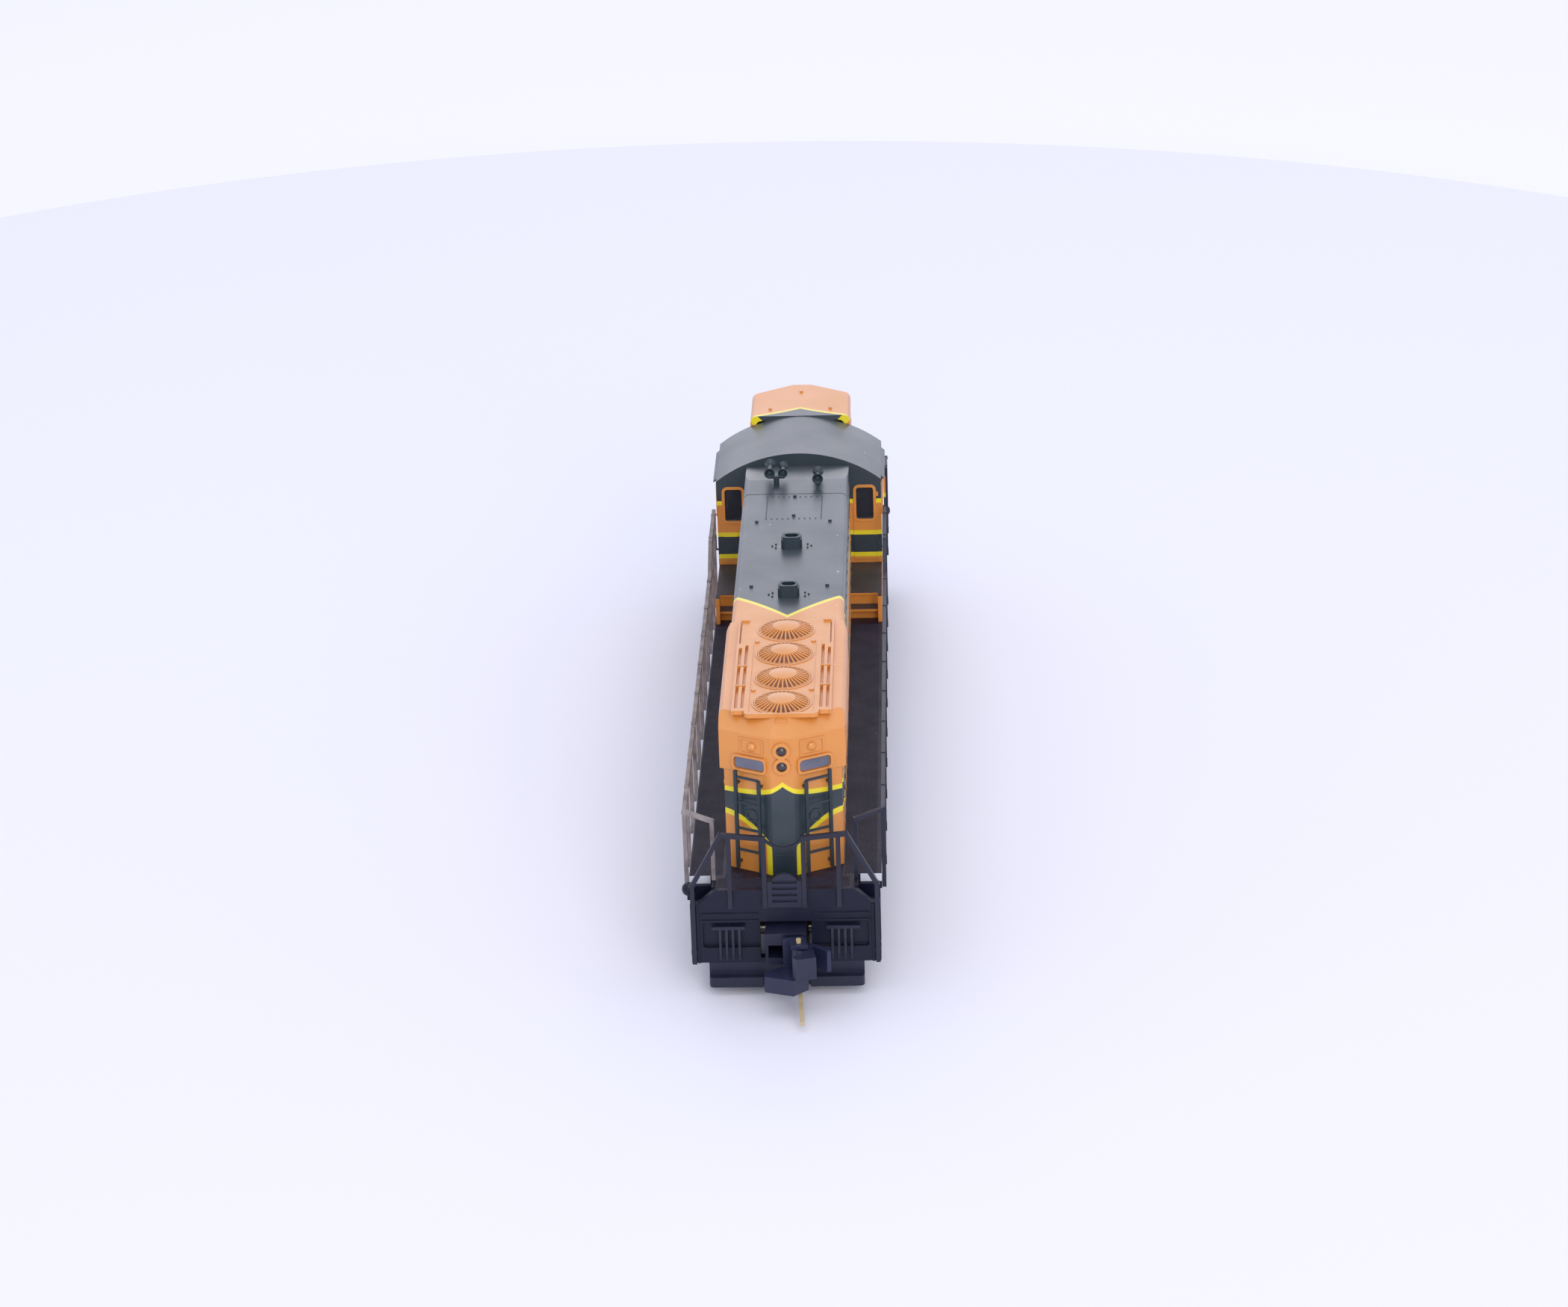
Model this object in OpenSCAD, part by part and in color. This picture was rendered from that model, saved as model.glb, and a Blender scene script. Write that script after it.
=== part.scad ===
// N scale model of a six-axle diesel road switcher, all dimensions in millimetres.
// +Y points to the cab end, +X to the right-hand side, z = 0 at the tips of the wheel flanges.

/* [Body] */
// Length over the outer faces of the two pilots
frame_len = 107.16; // [107:0.04:107.4]
// Half width of the running boards
deck_hw = 9.78; // [9.75:0.01:9.8]
// Height of the running boards
deck_z = 11.58; // [11.5:0.02:11.6]
// Half width of both hoods
hood_hw = 5.95; // [5.9:0.01:5.95]
// Height of the long hood's roof
roof_z = 28.2; // [28.1:0.05:28.3]
// Height of the short hood's roof
nose_z = 28.39; // [28.2:0.05:28.4]
// Half width of the radiator housing
radiator_hw = 6.37; // [6.3:0.01:6.4]
// Half width of the cab
cab_hw = 9.65; // [9.6:0.01:9.7]
// Wall thickness of the shells
wall = 0.6; // [0.5:0.05:0.6]

/* [Trucks and gears] */
// Distance of each truck pivot from the middle
truck_y = 33.35; // [33.3:0.01:33.4]
// Axle spacing inside a truck
axle_gap = 12.95; // [12.94:0.01:12.96]
// Radius of the wheel treads
tread_r = 3.175; // [3.15:0.005:3.2]
// Height of the wheel flanges above the treads
flange_h = 0.55; // [0.5:0.05:0.55]
// Tooth module of the spur gears
tooth_module = 0.4; // [0.4:0.1:0.4]
// Teeth on each axle gear
axle_teeth = 10; // [10:1:10]
// Teeth on each idler gear
idler_teeth = 28; // [28:1:28]
// Teeth on each worm gear
worm_gear_teeth = 15; // [15:1:15]

/* [Couplers] */
// Angle that both couplers are swung to, at rest
coupler_swing = 10; // [0:1:12]
// Distance of the coupler pivots from the middle
coupler_pivot_y = 51.5; // [51.4:0.1:51.6]

/* [Hidden] */

end_y = frame_len / 2;
flange_r = tread_r + flange_h;
axle_z = flange_r;

// hoods and cab, seen from above
hood_end_y = -50.43;
hood_corner_y = -47.88;
end_flat = 1.15;
panel_angle = atan2(hood_corner_y - hood_end_y, hood_hw - end_flat);
radiator_panel_angle = atan2(hood_corner_y - hood_end_y, radiator_hw - end_flat);
radiator_z0 = 22.55;
radiator_shoulder_z = 26.82;
radiator_front_y = -25.18;
cab_y0 = 26.63;
cab_y1 = 39.29;
cab_floor_z = 14.48;
cab_eave_z = 24.97;
cab_peak_z = 28.32;
cab_rise = cab_peak_z - cab_eave_z;
cab_arch_r = (cab_hw * cab_hw + cab_rise * cab_rise) / (2 * cab_rise);
slope_y = 18.42;
slope_end_z = 26.75;
nose_corner_y = 47.17;
nose_end_y = 50.42;
nose_panel_angle = atan2(nose_end_y - nose_corner_y, hood_hw - end_flat);
roof_edge_r = 0.75;
radiator_edge_r = 0.6;
fan_y0 = -45.47;
fan_pitch = 6.25;
fan_r = 2.82;
stack_ys = [-16.18, -2.18];
step_well_y = 50.23;
step_well_x = 7;

// gear train: all pitch radii follow from the module
axle_gear_r = axle_teeth * tooth_module / 2;
idler_r = idler_teeth * tooth_module / 2;
worm_gear_r = worm_gear_teeth * tooth_module / 2;
idler_y = axle_gap / 2;
idler_z = axle_z + sqrt(pow(axle_gear_r + idler_r, 2) - pow(idler_y, 2));
worm_gear_z = idler_z + sqrt(pow(idler_r + worm_gear_r, 2) - pow(idler_y, 2));
worm_pitch_r = 1.3;
shaft_z = worm_gear_z + worm_gear_r + worm_pitch_r;
worm_lead = PI * tooth_module;
gear_w = 1.8;
mesh_angle = atan2(idler_z - axle_z, idler_y);
// tooth phase of the right-hand idler when a tooth of the middle axle gear points straight up
idler_phase = (axle_teeth * (mesh_angle - 90) + idler_teeth * (mesh_angle + 180) - 180) / idler_teeth;
worm_gear_phase = 90 + 180 / worm_gear_teeth;
outer_phase = 180 - mesh_angle - (180 + idler_teeth * (mesh_angle + idler_phase)) / axle_teeth;

// running fits
pin_r = 0.6;
axle_r = 0.75;
run_gap = 0.06;

black = [0.13, 0.13, 0.15];
orange = [0.85, 0.47, 0.17];
green = [0.23, 0.29, 0.3];
zinc = [0.62, 0.62, 0.64];
brass = [0.75, 0.6, 0.3];

module both_sides() {
    children();
    mirror([1, 0, 0]) children();
}

module both_ends() {
    children();
    rotate([0, 0, 180]) children();
}

// an outline drawn in the YZ plane, run along X from x0 to x1
module along_x(x0, x1) translate([x0, 0, 0]) rotate([90, 0, 90]) linear_extrude(x1 - x0) children();

// an outline drawn in the XZ plane, run along Y from y0 to y1
module along_y(y0, y1) translate([0, y1, 0]) rotate([90, 0, 0]) linear_extrude(y1 - y0) children();

// a box given by its two corners
module block(p, q) translate(p) cube(q - p);

// a round bar along X, centred on x = 0
module rod_x(r, l) rotate([0, 90, 0]) cylinder(r = r, h = l, center = true, $fn = 48);

// a round bar along Y from y0 to y1
module rod_y(r, y0, y1) translate([0, y1, 0]) rotate([90, 0, 0]) cylinder(r = r, h = y1 - y0, $fn = 48);

// a square bar between two points, as long as its corners need to overlap
module bar(p, q, w = 0.42) {
    d = q - p;
    l = norm(d);
    translate(p)
        rotate([0, acos(d.z / l), atan2(d.y, d.x)])
            translate([-w / 2, -w / 2, -w / 2]) cube([w, w, l + w]);
}

// square bars from point to point
module rail(points, w = 0.42)
    for (i = [0 : len(points) - 2]) bar(points[i], points[i + 1], w);

function arc(cx, cy, r, a0, a1, n = 4) =
    [for (i = [0 : n]) [cx + r * cos(a0 + (a1 - a0) * i / n), cy + r * sin(a0 + (a1 - a0) * i / n)]];

// rectangle with rounded corners, centred on cx, cy
function round_rect(cx, cy, w, h, r) = concat(
    arc(cx + w / 2 - r, cy + h / 2 - r, r, 0, 90), arc(cx - w / 2 + r, cy + h / 2 - r, r, 90, 180),
    arc(cx - w / 2 + r, cy - h / 2 + r, r, 180, 270), arc(cx + w / 2 - r, cy - h / 2 + r, r, 270, 360));

// ---------- hoods ----------

// plan of a hood whose pointed end looks along -Y
function hood_plan(hw, flat, tip_y, corner_y, front_y) =
    [[hw, front_y], [hw, corner_y], [flat, tip_y], [-flat, tip_y], [-hw, corner_y], [-hw, front_y]];

// section of a hood with rounded roof edges
function hood_section(hw, z0, z1, r) =
    concat([[-hw, z0], [hw, z0]], arc(hw - r, z1 - r, r, 0, 90), arc(-hw + r, z1 - r, r, 90, 180));

// places a child on the slanted end panel: its x runs outwards along the panel, its -y is the outside
module on_end_panel(angle = panel_angle)
    both_sides() translate([end_flat, hood_end_y, 0]) rotate([0, 0, angle]) children();

module hood_solid(inset, z0) {
    hw = hood_hw - inset;
    z1 = roof_z - inset;
    intersection() {
        translate([0, 0, z0]) linear_extrude(20)
            polygon(hood_plan(hw, end_flat - inset / 4,
                hood_end_y + inset, hood_corner_y + inset / 4, cab_y0));
        along_y(-60, cab_y0) polygon(hood_section(hw, z0, z1, roof_edge_r));
        along_x(-10, 10)
            polygon([[-60, z0], [cab_y0, z0], [cab_y0, slope_end_z - inset], [slope_y, z1], [-60, z1]]);
    }
}

module radiator_solid(inset, z0) {
    hw = radiator_hw - inset;
    intersection() {
        translate([0, 0, z0]) linear_extrude(20)
            polygon(concat([[hood_hw - inset, radiator_front_y + 1.6], [hw, radiator_front_y]],
                [for (p = hood_plan(hw, end_flat - inset / 4, hood_end_y + inset, hood_corner_y + inset / 4,
                    radiator_front_y)) if (p.y < radiator_front_y) p],
                [[-hw, radiator_front_y], [-hood_hw + inset, radiator_front_y + 1.6]]));
        along_y(-60, 0) polygon(hood_section(hw, z0, roof_z - inset, radiator_edge_r));
    }
}

// the wedge above the slope that joins an end panel to the roof
module roof_slope_cut(slope)
    rotate([slope, 0, 0]) translate([-12, -6, 0]) cube([24, 12, 6]);

module end_slopes(edge_z, slope, angle) {
    translate([0, hood_end_y, edge_z]) roof_slope_cut(slope);
    on_end_panel(angle) translate([0, 0, edge_z]) roof_slope_cut(slope);
}

// bezels of the two headlights, class lights in their shallow frames, and number board frames
module end_details(top_z, angle) {
    for (z = [top_z - 3.03, top_z - 1.33])
        translate([0, 0, z]) rod_y(0.89, hood_end_y - 0.3, hood_end_y + 0.1);
    on_end_panel(angle) {
        translate([2.06, 0.05, top_z - 1.27]) rotate([90, 0, 0]) {
            cylinder(r = 0.45, h = 0.25, $fn = 32);
            translate([0, 0, 0.25]) cylinder(r1 = 0.45, r2 = 0.2, h = 0.2, $fn = 32);
        }
        difference() {
            along_y(-0.1, 0.05) polygon(round_rect(2.1, top_z - 1.27, 2.7, 1.8, 0.1));
            along_y(-1, 1) polygon(round_rect(2.1, top_z - 1.27, 2.3, 1.4, 0.1));
        }
        difference() {
            along_y(-0.28, 0.05) polygon(round_rect(2.34, top_z - 3.17, 3.9, 1.75, 0.45));
            along_y(-1, 1) polygon(round_rect(2.34, top_z - 3.17, 3.44, 1.29, 0.37));
        }
    }
}

module side_doors(y0, y1, count, z0, z1) {
    // engine room doors with a latch and two hinges each, proud of the hood side
    pitch = (y1 - y0) / count;
    for (i = [0 : count - 1]) {
        y = y0 + i * pitch;
        mid = (z0 + z1) / 2;
        block([hood_hw - 0.05, y + 0.12, z0], [hood_hw + 0.07, y + pitch - 0.12, z1]);
        block([hood_hw, y + pitch - 0.5, mid - 0.25], [hood_hw + 0.17, y + pitch - 0.3, mid + 0.25]);
        for (z = [z0 + 1.2, z1 - 1.2])
            block([hood_hw, y + 0.2, z - 0.15], [hood_hw + 0.14, y + 0.55, z + 0.15]);
    }
}

module long_hood() color(orange) {
    difference() {
        union() {
            difference() {
                hood_solid(0, deck_z);
                block([-7, -60, radiator_z0], [7, radiator_front_y + 1.6, 30]);
            }
            difference() {
                radiator_solid(0, radiator_z0);
                end_slopes(radiator_shoulder_z, 36, radiator_panel_angle);
            }
            end_details(radiator_shoulder_z, radiator_panel_angle);
            both_sides() {
                side_doors(-46.5, -24.9, 8, 13, 21.4);
                side_doors(-22.5, 15.2, 11, 13, 26);
                side_doors(15.7, 24.2, 2, 15, 25.6);
                // shutters of the side radiators
                for (z = [23.1 : 0.42 : 26.4])
                    block([radiator_hw - 0.05, -46, z], [radiator_hw + 0.09, -27, z + 0.22]);
            }
        }
        difference() {
            hood_solid(wall, deck_z - 1);
            block([-7, -60, radiator_z0 + wall + 0.05], [7, radiator_front_y, 30]);
        }
        difference() {
            radiator_solid(wall, radiator_z0 + wall);
            translate([0, wall, -0.55]) end_slopes(radiator_shoulder_z, 36, radiator_panel_angle);
        }
        // shallow wells under the fans, and the joint between two lengths of roof
        for (i = [0 : 3])
            translate([0, fan_y0 + i * fan_pitch, roof_z - 0.3]) cylinder(r = fan_r - 0.12, h = 4, $fn = 64);
        difference() {
            block([-7, 13.75, 26.2], [7, 13.9, 30]);
            hood_solid(0.12, deck_z);
        }
        // holes for the headlight lenses and pockets for the number boards
        for (z = [radiator_shoulder_z - 3.03, radiator_shoulder_z - 1.33])
            translate([0, 0, z]) rod_y(0.52, -52, -49);
        on_end_panel(radiator_panel_angle) along_y(-1, 0.25)
            polygon(round_rect(2.34, radiator_shoulder_z - 3.17, 3.3, 1.15, 0.3));
    }
    // manhole rings and a small riveted plate low on the end
    on_end_panel() difference() {
        translate([2.33, 0, 17.85]) rod_y(0.68, -0.16, 0.05);
        translate([2.33, 0, 17.85]) rod_y(0.48, -1, 1);
    }
    for (x = [-0.75 : 0.3 : 0.76], z = [13.75, 14.2])
        translate([x, 0, z]) rod_y(0.07, hood_end_y - 0.08, hood_end_y + 0.02);
    // lifting eyes and the riveted hatch on the roof
    for (p = [[4.1, -13.78], [-4.1, -13.78], [4.1, 5.22], [-4.1, 5.22], [0, 7.02], [0, 12.97]])
        translate([p.x, p.y, roof_z]) cylinder(r = 0.2, h = 0.22, $fn = 24);
    for (x = [-3.1 : 0.62 : 3.11], y = [6.12, 12.92])
        translate([x, y, roof_z]) cylinder(r = 0.07, h = 0.07, $fn = 16);
    both_sides() for (y = [6.8 : 0.68 : 12.3])
        translate([3.1, y, roof_z]) cylinder(r = 0.07, h = 0.07, $fn = 16);
    block([-0.6, hood_end_y + 1.4, roof_z - 0.75], [0.6, hood_end_y + 2.2, roof_z]);
}

module nose_solid(inset, z0) {
    hw = hood_hw - inset;
    intersection() {
        translate([0, 0, z0]) linear_extrude(20) rotate(180)
            polygon(hood_plan(hw, end_flat - inset / 4, -nose_end_y + inset, -nose_corner_y + inset / 4,
                -cab_y1));
        along_y(cab_y1, 60) polygon(hood_section(hw, z0, nose_z - inset, roof_edge_r));
    }
}

module short_hood() color(orange) {
    nose_shift = nose_end_y + hood_end_y;
    lamp_top_z = radiator_shoulder_z;
    difference() {
        union() {
            difference() {
                nose_solid(0, deck_z);
                translate([0, nose_shift, 0]) rotate(180) end_slopes(nose_z - 0.15, 45, nose_panel_angle);
            }
            translate([0, nose_shift, 0]) rotate(180) end_details(lamp_top_z, nose_panel_angle);
        }
        nose_solid(wall, deck_z - 1);
        for (z = [lamp_top_z - 3.03, lamp_top_z - 1.33])
            translate([0, 0, z]) rod_y(0.52, 49, 52);
        translate([0, nose_shift, 0]) rotate(180) on_end_panel(nose_panel_angle) along_y(-1, 0.25)
            polygon(round_rect(2.34, lamp_top_z - 3.17, 3.3, 1.15, 0.3));
    }
    for (p = [[3.6, 41.6], [-3.6, 41.6], [0, 47.6]])
        translate([p.x, p.y, nose_z]) cylinder(r = 0.2, h = 0.2, $fn = 24);
    both_sides() {
        block([hood_hw - 0.05, 41, 15.5], [hood_hw + 0.07, 43.4, 25.5]);
        block([hood_hw - 0.05, 43.7, 15.5], [hood_hw + 0.07, 46.1, 25.5]);
    }
}

// ---------- cab ----------

cab_window_z = 21.98;
cab_side_windows = [[29.9, 3.5], [33.6, 3.5], [36.9, 2.3]];

module cab_solid(inset) {
    intersection() {
        block([inset - cab_hw, cab_y0 + inset, cab_floor_z - inset],
            [cab_hw - inset, cab_y1 - inset, cab_peak_z + 1]);
        translate([0, 0, cab_peak_z - cab_arch_r]) rod_y(cab_arch_r - inset, cab_y0 - 1, cab_y1 + 1,
            $fn = 128);
    }
}

// window openings of the front and rear walls, as seen from above: centre x of the outline
cab_end_window_xs = [-7.7, 7.71];

module cab_windows(grow, depth) {
    for (x = cab_end_window_xs)
        along_y(cab_y0 - depth, cab_y0 + depth)
            polygon(round_rect(x, cab_window_z, 2.0 + 2 * grow, 3.96 + 2 * grow, 0.3 + grow));
    for (x = cab_end_window_xs)
        along_y(cab_y1 - depth, cab_y1 + depth)
            polygon(round_rect(-x, cab_window_z, 2.0 + 2 * grow, 3.96 + 2 * grow, 0.3 + grow));
    both_sides() for (w = cab_side_windows)
        along_x(cab_hw - depth, cab_hw + depth)
            polygon(round_rect(w[0], cab_window_z, w[1] - 0.5 + 2 * grow, 3.7 + 2 * grow, 0.25 + grow));
}

module cab() color(green) {
    difference() {
        union() {
            cab_solid(0);
            // raised window frames
            intersection() {
                cab_windows(0.34, 0.14);
                block([-cab_hw - 0.14, cab_y0 - 0.14, 16], [cab_hw + 0.14, cab_y1 + 0.14, 25]);
            }
            // sunshades over the side windows and grab irons at the rear corners
            both_sides() {
                along_y(28.4, 37.9)
                    polygon([[cab_hw - 0.05, 24.75], [cab_hw + 0.42, 24.35], [cab_hw + 0.42, 24.2],
                        [cab_hw - 0.05, 24.5]]);
                rail([[cab_hw, 27.3, 16.2], [cab_hw + 0.3, 27.3, 16.2], [cab_hw + 0.3, 27.3, 20.6],
                    [cab_hw, 27.3, 20.6]], 0.2);
                rail([[cab_hw, 38.7, 16.2], [cab_hw + 0.3, 38.7, 16.2], [cab_hw + 0.3, 38.7, 20.6],
                    [cab_hw, 38.7, 20.6]], 0.2);
            }
            // the door in the rear wall and its twin at the front, with their hinges
            both_ends_of_cab() {
                block([6.37, cab_y0 - 0.07, 14.9], [9.2, cab_y0 + 0.1, 24.2]);
                for (z = [16.6, 22.9]) block([9.05, cab_y0 - 0.16, z], [9.3, cab_y0 + 0.1, z + 0.5]);
                block([-8.9, cab_y0 - 0.07, 17.75], [-7.3, cab_y0 + 0.1, 18.65]);
            }
        }
        cab_solid(wall);
        block([wall - cab_hw, cab_y0 + wall, cab_floor_z - 2], [cab_hw - wall, cab_y1 - wall,
            cab_floor_z + 1]);
        cab_windows(0, 1);
        block([-5.35, cab_y0 - 1, cab_floor_z - 1], [5.35, cab_y1 + 1, 26.15]);
        block([-hood_hw - 0.01, cab_y0 - 1, cab_floor_z - 1], [hood_hw + 0.01, cab_y0 - 0.001, 26.9]);
    }
}

// the front wall is the rear wall turned about the middle of the cab
module both_ends_of_cab() {
    children();
    translate([0, cab_y0 + cab_y1, 0]) rotate(180) children();
}

module cab_glazing() color([0.2, 0.2, 0.25, 0.6]) {
    intersection() {
        cab_windows(-0.02, 0.35);
        union() {
            block([-20, cab_y0 + 0.05, 0], [20, cab_y0 + 0.35, 40]);
            block([-20, cab_y1 - 0.35, 0], [20, cab_y1 - 0.05, 40]);
            both_sides() block([cab_hw - 0.35, cab_y0 + 1, 0], [cab_hw - 0.05, cab_y1 - 1, 40]);
        }
    }
}

// side boxes under the cab with the two steps at either end
module cab_base() color(orange) both_sides() {
    z0 = deck_z + 0.02;
    top = cab_floor_z - 0.02;
    tread = 13.03;
    along_x(hood_hw + 0.02, 9.6)
        polygon([[16.52, z0], [16.52, tread - 0.28], [15.72, tread - 0.28], [15.72, tread], [17.42, tread],
            [17.42, top - 0.28], [17.2, top - 0.28], [17.2, top],
            [43.72, top], [43.72, top - 0.28], [43.5, top - 0.28], [43.5, tread], [45.2, tread],
            [45.2, tread - 0.28], [44.4, tread - 0.28], [44.4, z0]]);
    for (y = [15.3, 44.4])
        block([9.15, y, z0], [9.6, y + 1.22, top + 0.35]);
}

// ---------- running boards, pilots and tank ----------

module pilot() {
    face = -end_y;
    difference() {
        along_y(face, face + 0.88)
            polygon([[-9.6, 3.43], [9.6, 3.43], [9.6, 10], [8.75, 10], [step_well_x, deck_z],
                [-step_well_x, deck_z],
                [-8.75, 10], [-9.6, 10]]);
        both_sides() along_y(face - 1, face + 0.45) polygon(round_rect(5.35, 6.55, 6.1, 2.9, 0.3));
        block([-2.6, face - 1, 3.9], [2.6, face + 2, 8.0]);
    }
    // ribs across the face
    for (z = [8.05, 8.79])
        both_sides() block([2.7, face - 0.18, z], [8.5, face + 0.05, z + 0.2]);
    both_sides() {
        block([8.7, face - 0.12, 3.43], [9.0, face + 0.05, 9.9]);
        // step well with three treads
        block([step_well_x, face + 0.8, 4.2], [step_well_x + 0.4, -step_well_y, deck_z]);
        block([step_well_x, -0.4 - step_well_y, 4.2], [9.6, -step_well_y, deck_z - 0.9]);
        for (z = [3.43, 6.2, 8.8])
            block([step_well_x, face + 0.8, z], [9.6, -step_well_y, z + 0.35]);
    }
    // handle of the uncoupling lever
    translate([-9.72, -52.08, 11.05]) sphere(r = 0.72, $fn = 40);
    block([-9.9, -52.3, 9.9], [-9.4, -51.86, 11.05]);
    block([-9.6, -52.3, 9.3], [-9.3, -51.86, 10.2]);
}

module walkway() color(black) {
    difference() {
        translate([0, 0, deck_z - 1]) linear_extrude(1)
            polygon([[deck_hw, -step_well_y], [step_well_x, -step_well_y], [step_well_x, 0.8 - end_y],
                [-step_well_x, 0.8 - end_y], [-step_well_x, -step_well_y], [-deck_hw, -step_well_y],
                [-deck_hw, step_well_y], [-step_well_x, step_well_y], [-step_well_x, end_y - 0.8],
                [step_well_x, end_y - 0.8], [step_well_x, step_well_y], [deck_hw, step_well_y]]);
        block([-5.3, -46.9, 0], [5.3, 46.9, 30]);
        both_ends() both_sides() block([7.1, -52.2, deck_z - 0.5], [7.5, -51.6, deck_z + 1]);
    }
    both_sides() block([9.3, -step_well_y, 9.9], [deck_hw, step_well_y, deck_z - 0.5]);
    both_ends() pilot();
}

module fuel_tank() color(black) {
    difference() {
        along_y(-15.2, 15.2)
            polygon([[-6.9, 3], [6.9, 3], [8, 4.1], [8, 7.6], [7.1, 7.9], [7.1, 9.15],
                [-7.1, 9.15], [-7.1, 7.9], [-8, 7.6], [-8, 4.1]]);
        block([-6.2, -14.4, 3.9], [6.2, 14.4, 20]);
    }
    both_sides() translate([7.95, 6, 5.9]) rod_x(0.55, 0.5);
}

module air_reservoirs() color(black)
    both_sides() for (y = [-6.6, 6.6])
        translate([8.06, y, 8.83]) union() {
            rod_y(0.88, -5.6, 5.6);
            for (dy = [-3.6, 3.6]) translate([0, dy, 0]) rod_y(0.93, -0.25, 0.25);
        }

module snow_plows() color(black) both_ends() {
    y0 = -end_y;
    block([-7.87, y0 + 0.1, 2.05], [7.87, y0 + 0.6, 3.42]);
    difference() {
        translate([0, 0, 0.98]) linear_extrude(1.08)
            polygon(round_rect(0, y0 - 0.05, 15.74, 1.5, 0.5));
        block([-2.4, y0 - 2, 0], [2.4, y0 - 0.35, 3]);
    }
    both_sides() for (x = [3, 6])
        translate([x, y0 + 0.1, 0.75]) cylinder(r = 0.3, h = 0.24, $fn = 24);
}

// ---------- roof fittings ----------

// plate that carries the fans, with a raised rim, and a strip of air slots along either side
module fan_deck() color(orange) {
    z = roof_z;
    plate_h = 0.34;
    rim_h = 0.46;
    plate_w = 7.56;
    wide_w = 9.3;
    y0 = -48.48;
    y1 = -30.3;
    y2 = -23.7;
    mid = (y0 + y1) / 2;
    difference() {
        union() {
            translate([0, 0, z]) linear_extrude(plate_h)
                polygon(round_rect(0, (y0 + y2) / 2, plate_w, y2 - y0, 0.6));
            block([-wide_w / 2, y1, z], [wide_w / 2, y2 - 0.01, z + plate_h]);
            // rim around the plate and collars around the fans
            translate([0, 0, z]) linear_extrude(rim_h) difference() {
                polygon(round_rect(0, mid, plate_w, y1 - y0, 0.6));
                polygon(round_rect(0, mid + 0.8, plate_w - 1, y1 - y0 + 0.8, 0.3));
            }
            for (i = [0 : 3])
                translate([0, fan_y0 + i * fan_pitch, z]) cylinder(r = fan_r + 0.25, h = plate_h + 0.07,
                    $fn = 64);
        }
        for (i = [0 : 3])
            translate([0, fan_y0 + i * fan_pitch, z - 1]) cylinder(r = fan_r + 0.04, h = 3, $fn = 64);
    }
    both_sides() {
        difference() {
            translate([0, 0, z]) linear_extrude(rim_h) union() {
                polygon(round_rect(4.36, -39, 1.38, 17.2, 0.3));
                polygon(round_rect(4.93, -35.65, 0.24, 24.1, 0.1));
            }
            for (x = [3.97, 4.62])
                block([x - 0.15, -46.9, z + 0.04], [x + 0.15, x > 4.5 ? -31.6 : -30.9, z + 1]);
        }
        for (y = [-41.4, -36.4])
            block([3.75, y, z], [4.85, y + 0.22, z + rim_h + 0.06]);
        block([3.9, -24.5, z], [4.7, -24.1, z + rim_h + 0.1]);
        for (y = [-42.34, -29.84])
            translate([2.95, y, z]) cylinder(r = 0.24, h = plate_h + 0.14, $fn = 24);
    }
}

// a domed hub carried by bars that slope up to it from a thin ring
module radiator_fan() {
    hub_r = 1.43;
    dome_r = 5.2;
    ring_z = 0.42;
    hub_z = 0.86;
    bar_t = 0.16;
    intersection() {
        translate([0, 0, hub_z + 0.2 - dome_r]) sphere(r = dome_r, $fn = 96);
        translate([0, 0, hub_z - 0.3]) cylinder(r = hub_r, h = 2, $fn = 64);
    }
    difference() {
        cylinder(r = fan_r, h = ring_z, $fn = 64);
        translate([0, 0, -1]) cylinder(r = fan_r - 0.12, h = 3, $fn = 64);
    }
    for (a = [0 : 11.25 : 359])
        rotate(a) translate([hub_r - 0.1, -bar_t / 2, 0]) along_y(0, bar_t)
            polygon([[0, hub_z - bar_t], [fan_r - hub_r + 0.04, ring_z - bar_t],
                [fan_r - hub_r + 0.04, ring_z - 0.01],
                [0, hub_z - 0.01]]);
}

module radiator_fans() color(orange)
    for (i = [0 : 3])
        translate([0, fan_y0 + i * fan_pitch, roof_z + 0.02]) radiator_fan();

module exhaust_stacks() color(green)
    for (y = stack_ys) translate([0, y, roof_z]) {
        difference() {
            union() {
                linear_extrude(1.0) polygon(round_rect(0, 0, 2.3, 1.8, 0.45));
                translate([0, 0, 1]) linear_extrude(0.3) polygon(round_rect(0, 0, 2.0, 1.5, 0.4));
            }
            translate([0, 0, 0.25]) linear_extrude(2) polygon(round_rect(0, 0, 1.5, 1.0, 0.48));
        }
        both_sides() for (p = [[1.75, 0.5], [1.75, -0.5], [2.15, 0.05]])
            translate([p.x, p.y, 0]) cylinder(r = 0.1, h = 0.12, $fn = 16);
    }

// a trumpet along Y with a bell at each end
module double_horn(l, bell_r) {
    rod_y(0.24, 0.2, l - 0.2);
    for (side = [0, 1]) translate([0, side * l, 0]) rotate([side * 180, 0, 0]) {
        translate([0, 0, 0]) rotate([-90, 0, 0]) difference() {
            cylinder(r1 = bell_r, r2 = 0.3, h = 0.7, $fn = 40);
            translate([0, 0, -0.02]) cylinder(r1 = bell_r - 0.1, r2 = 0.1, h = 0.5, $fn = 40);
        }
    }
}

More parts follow.
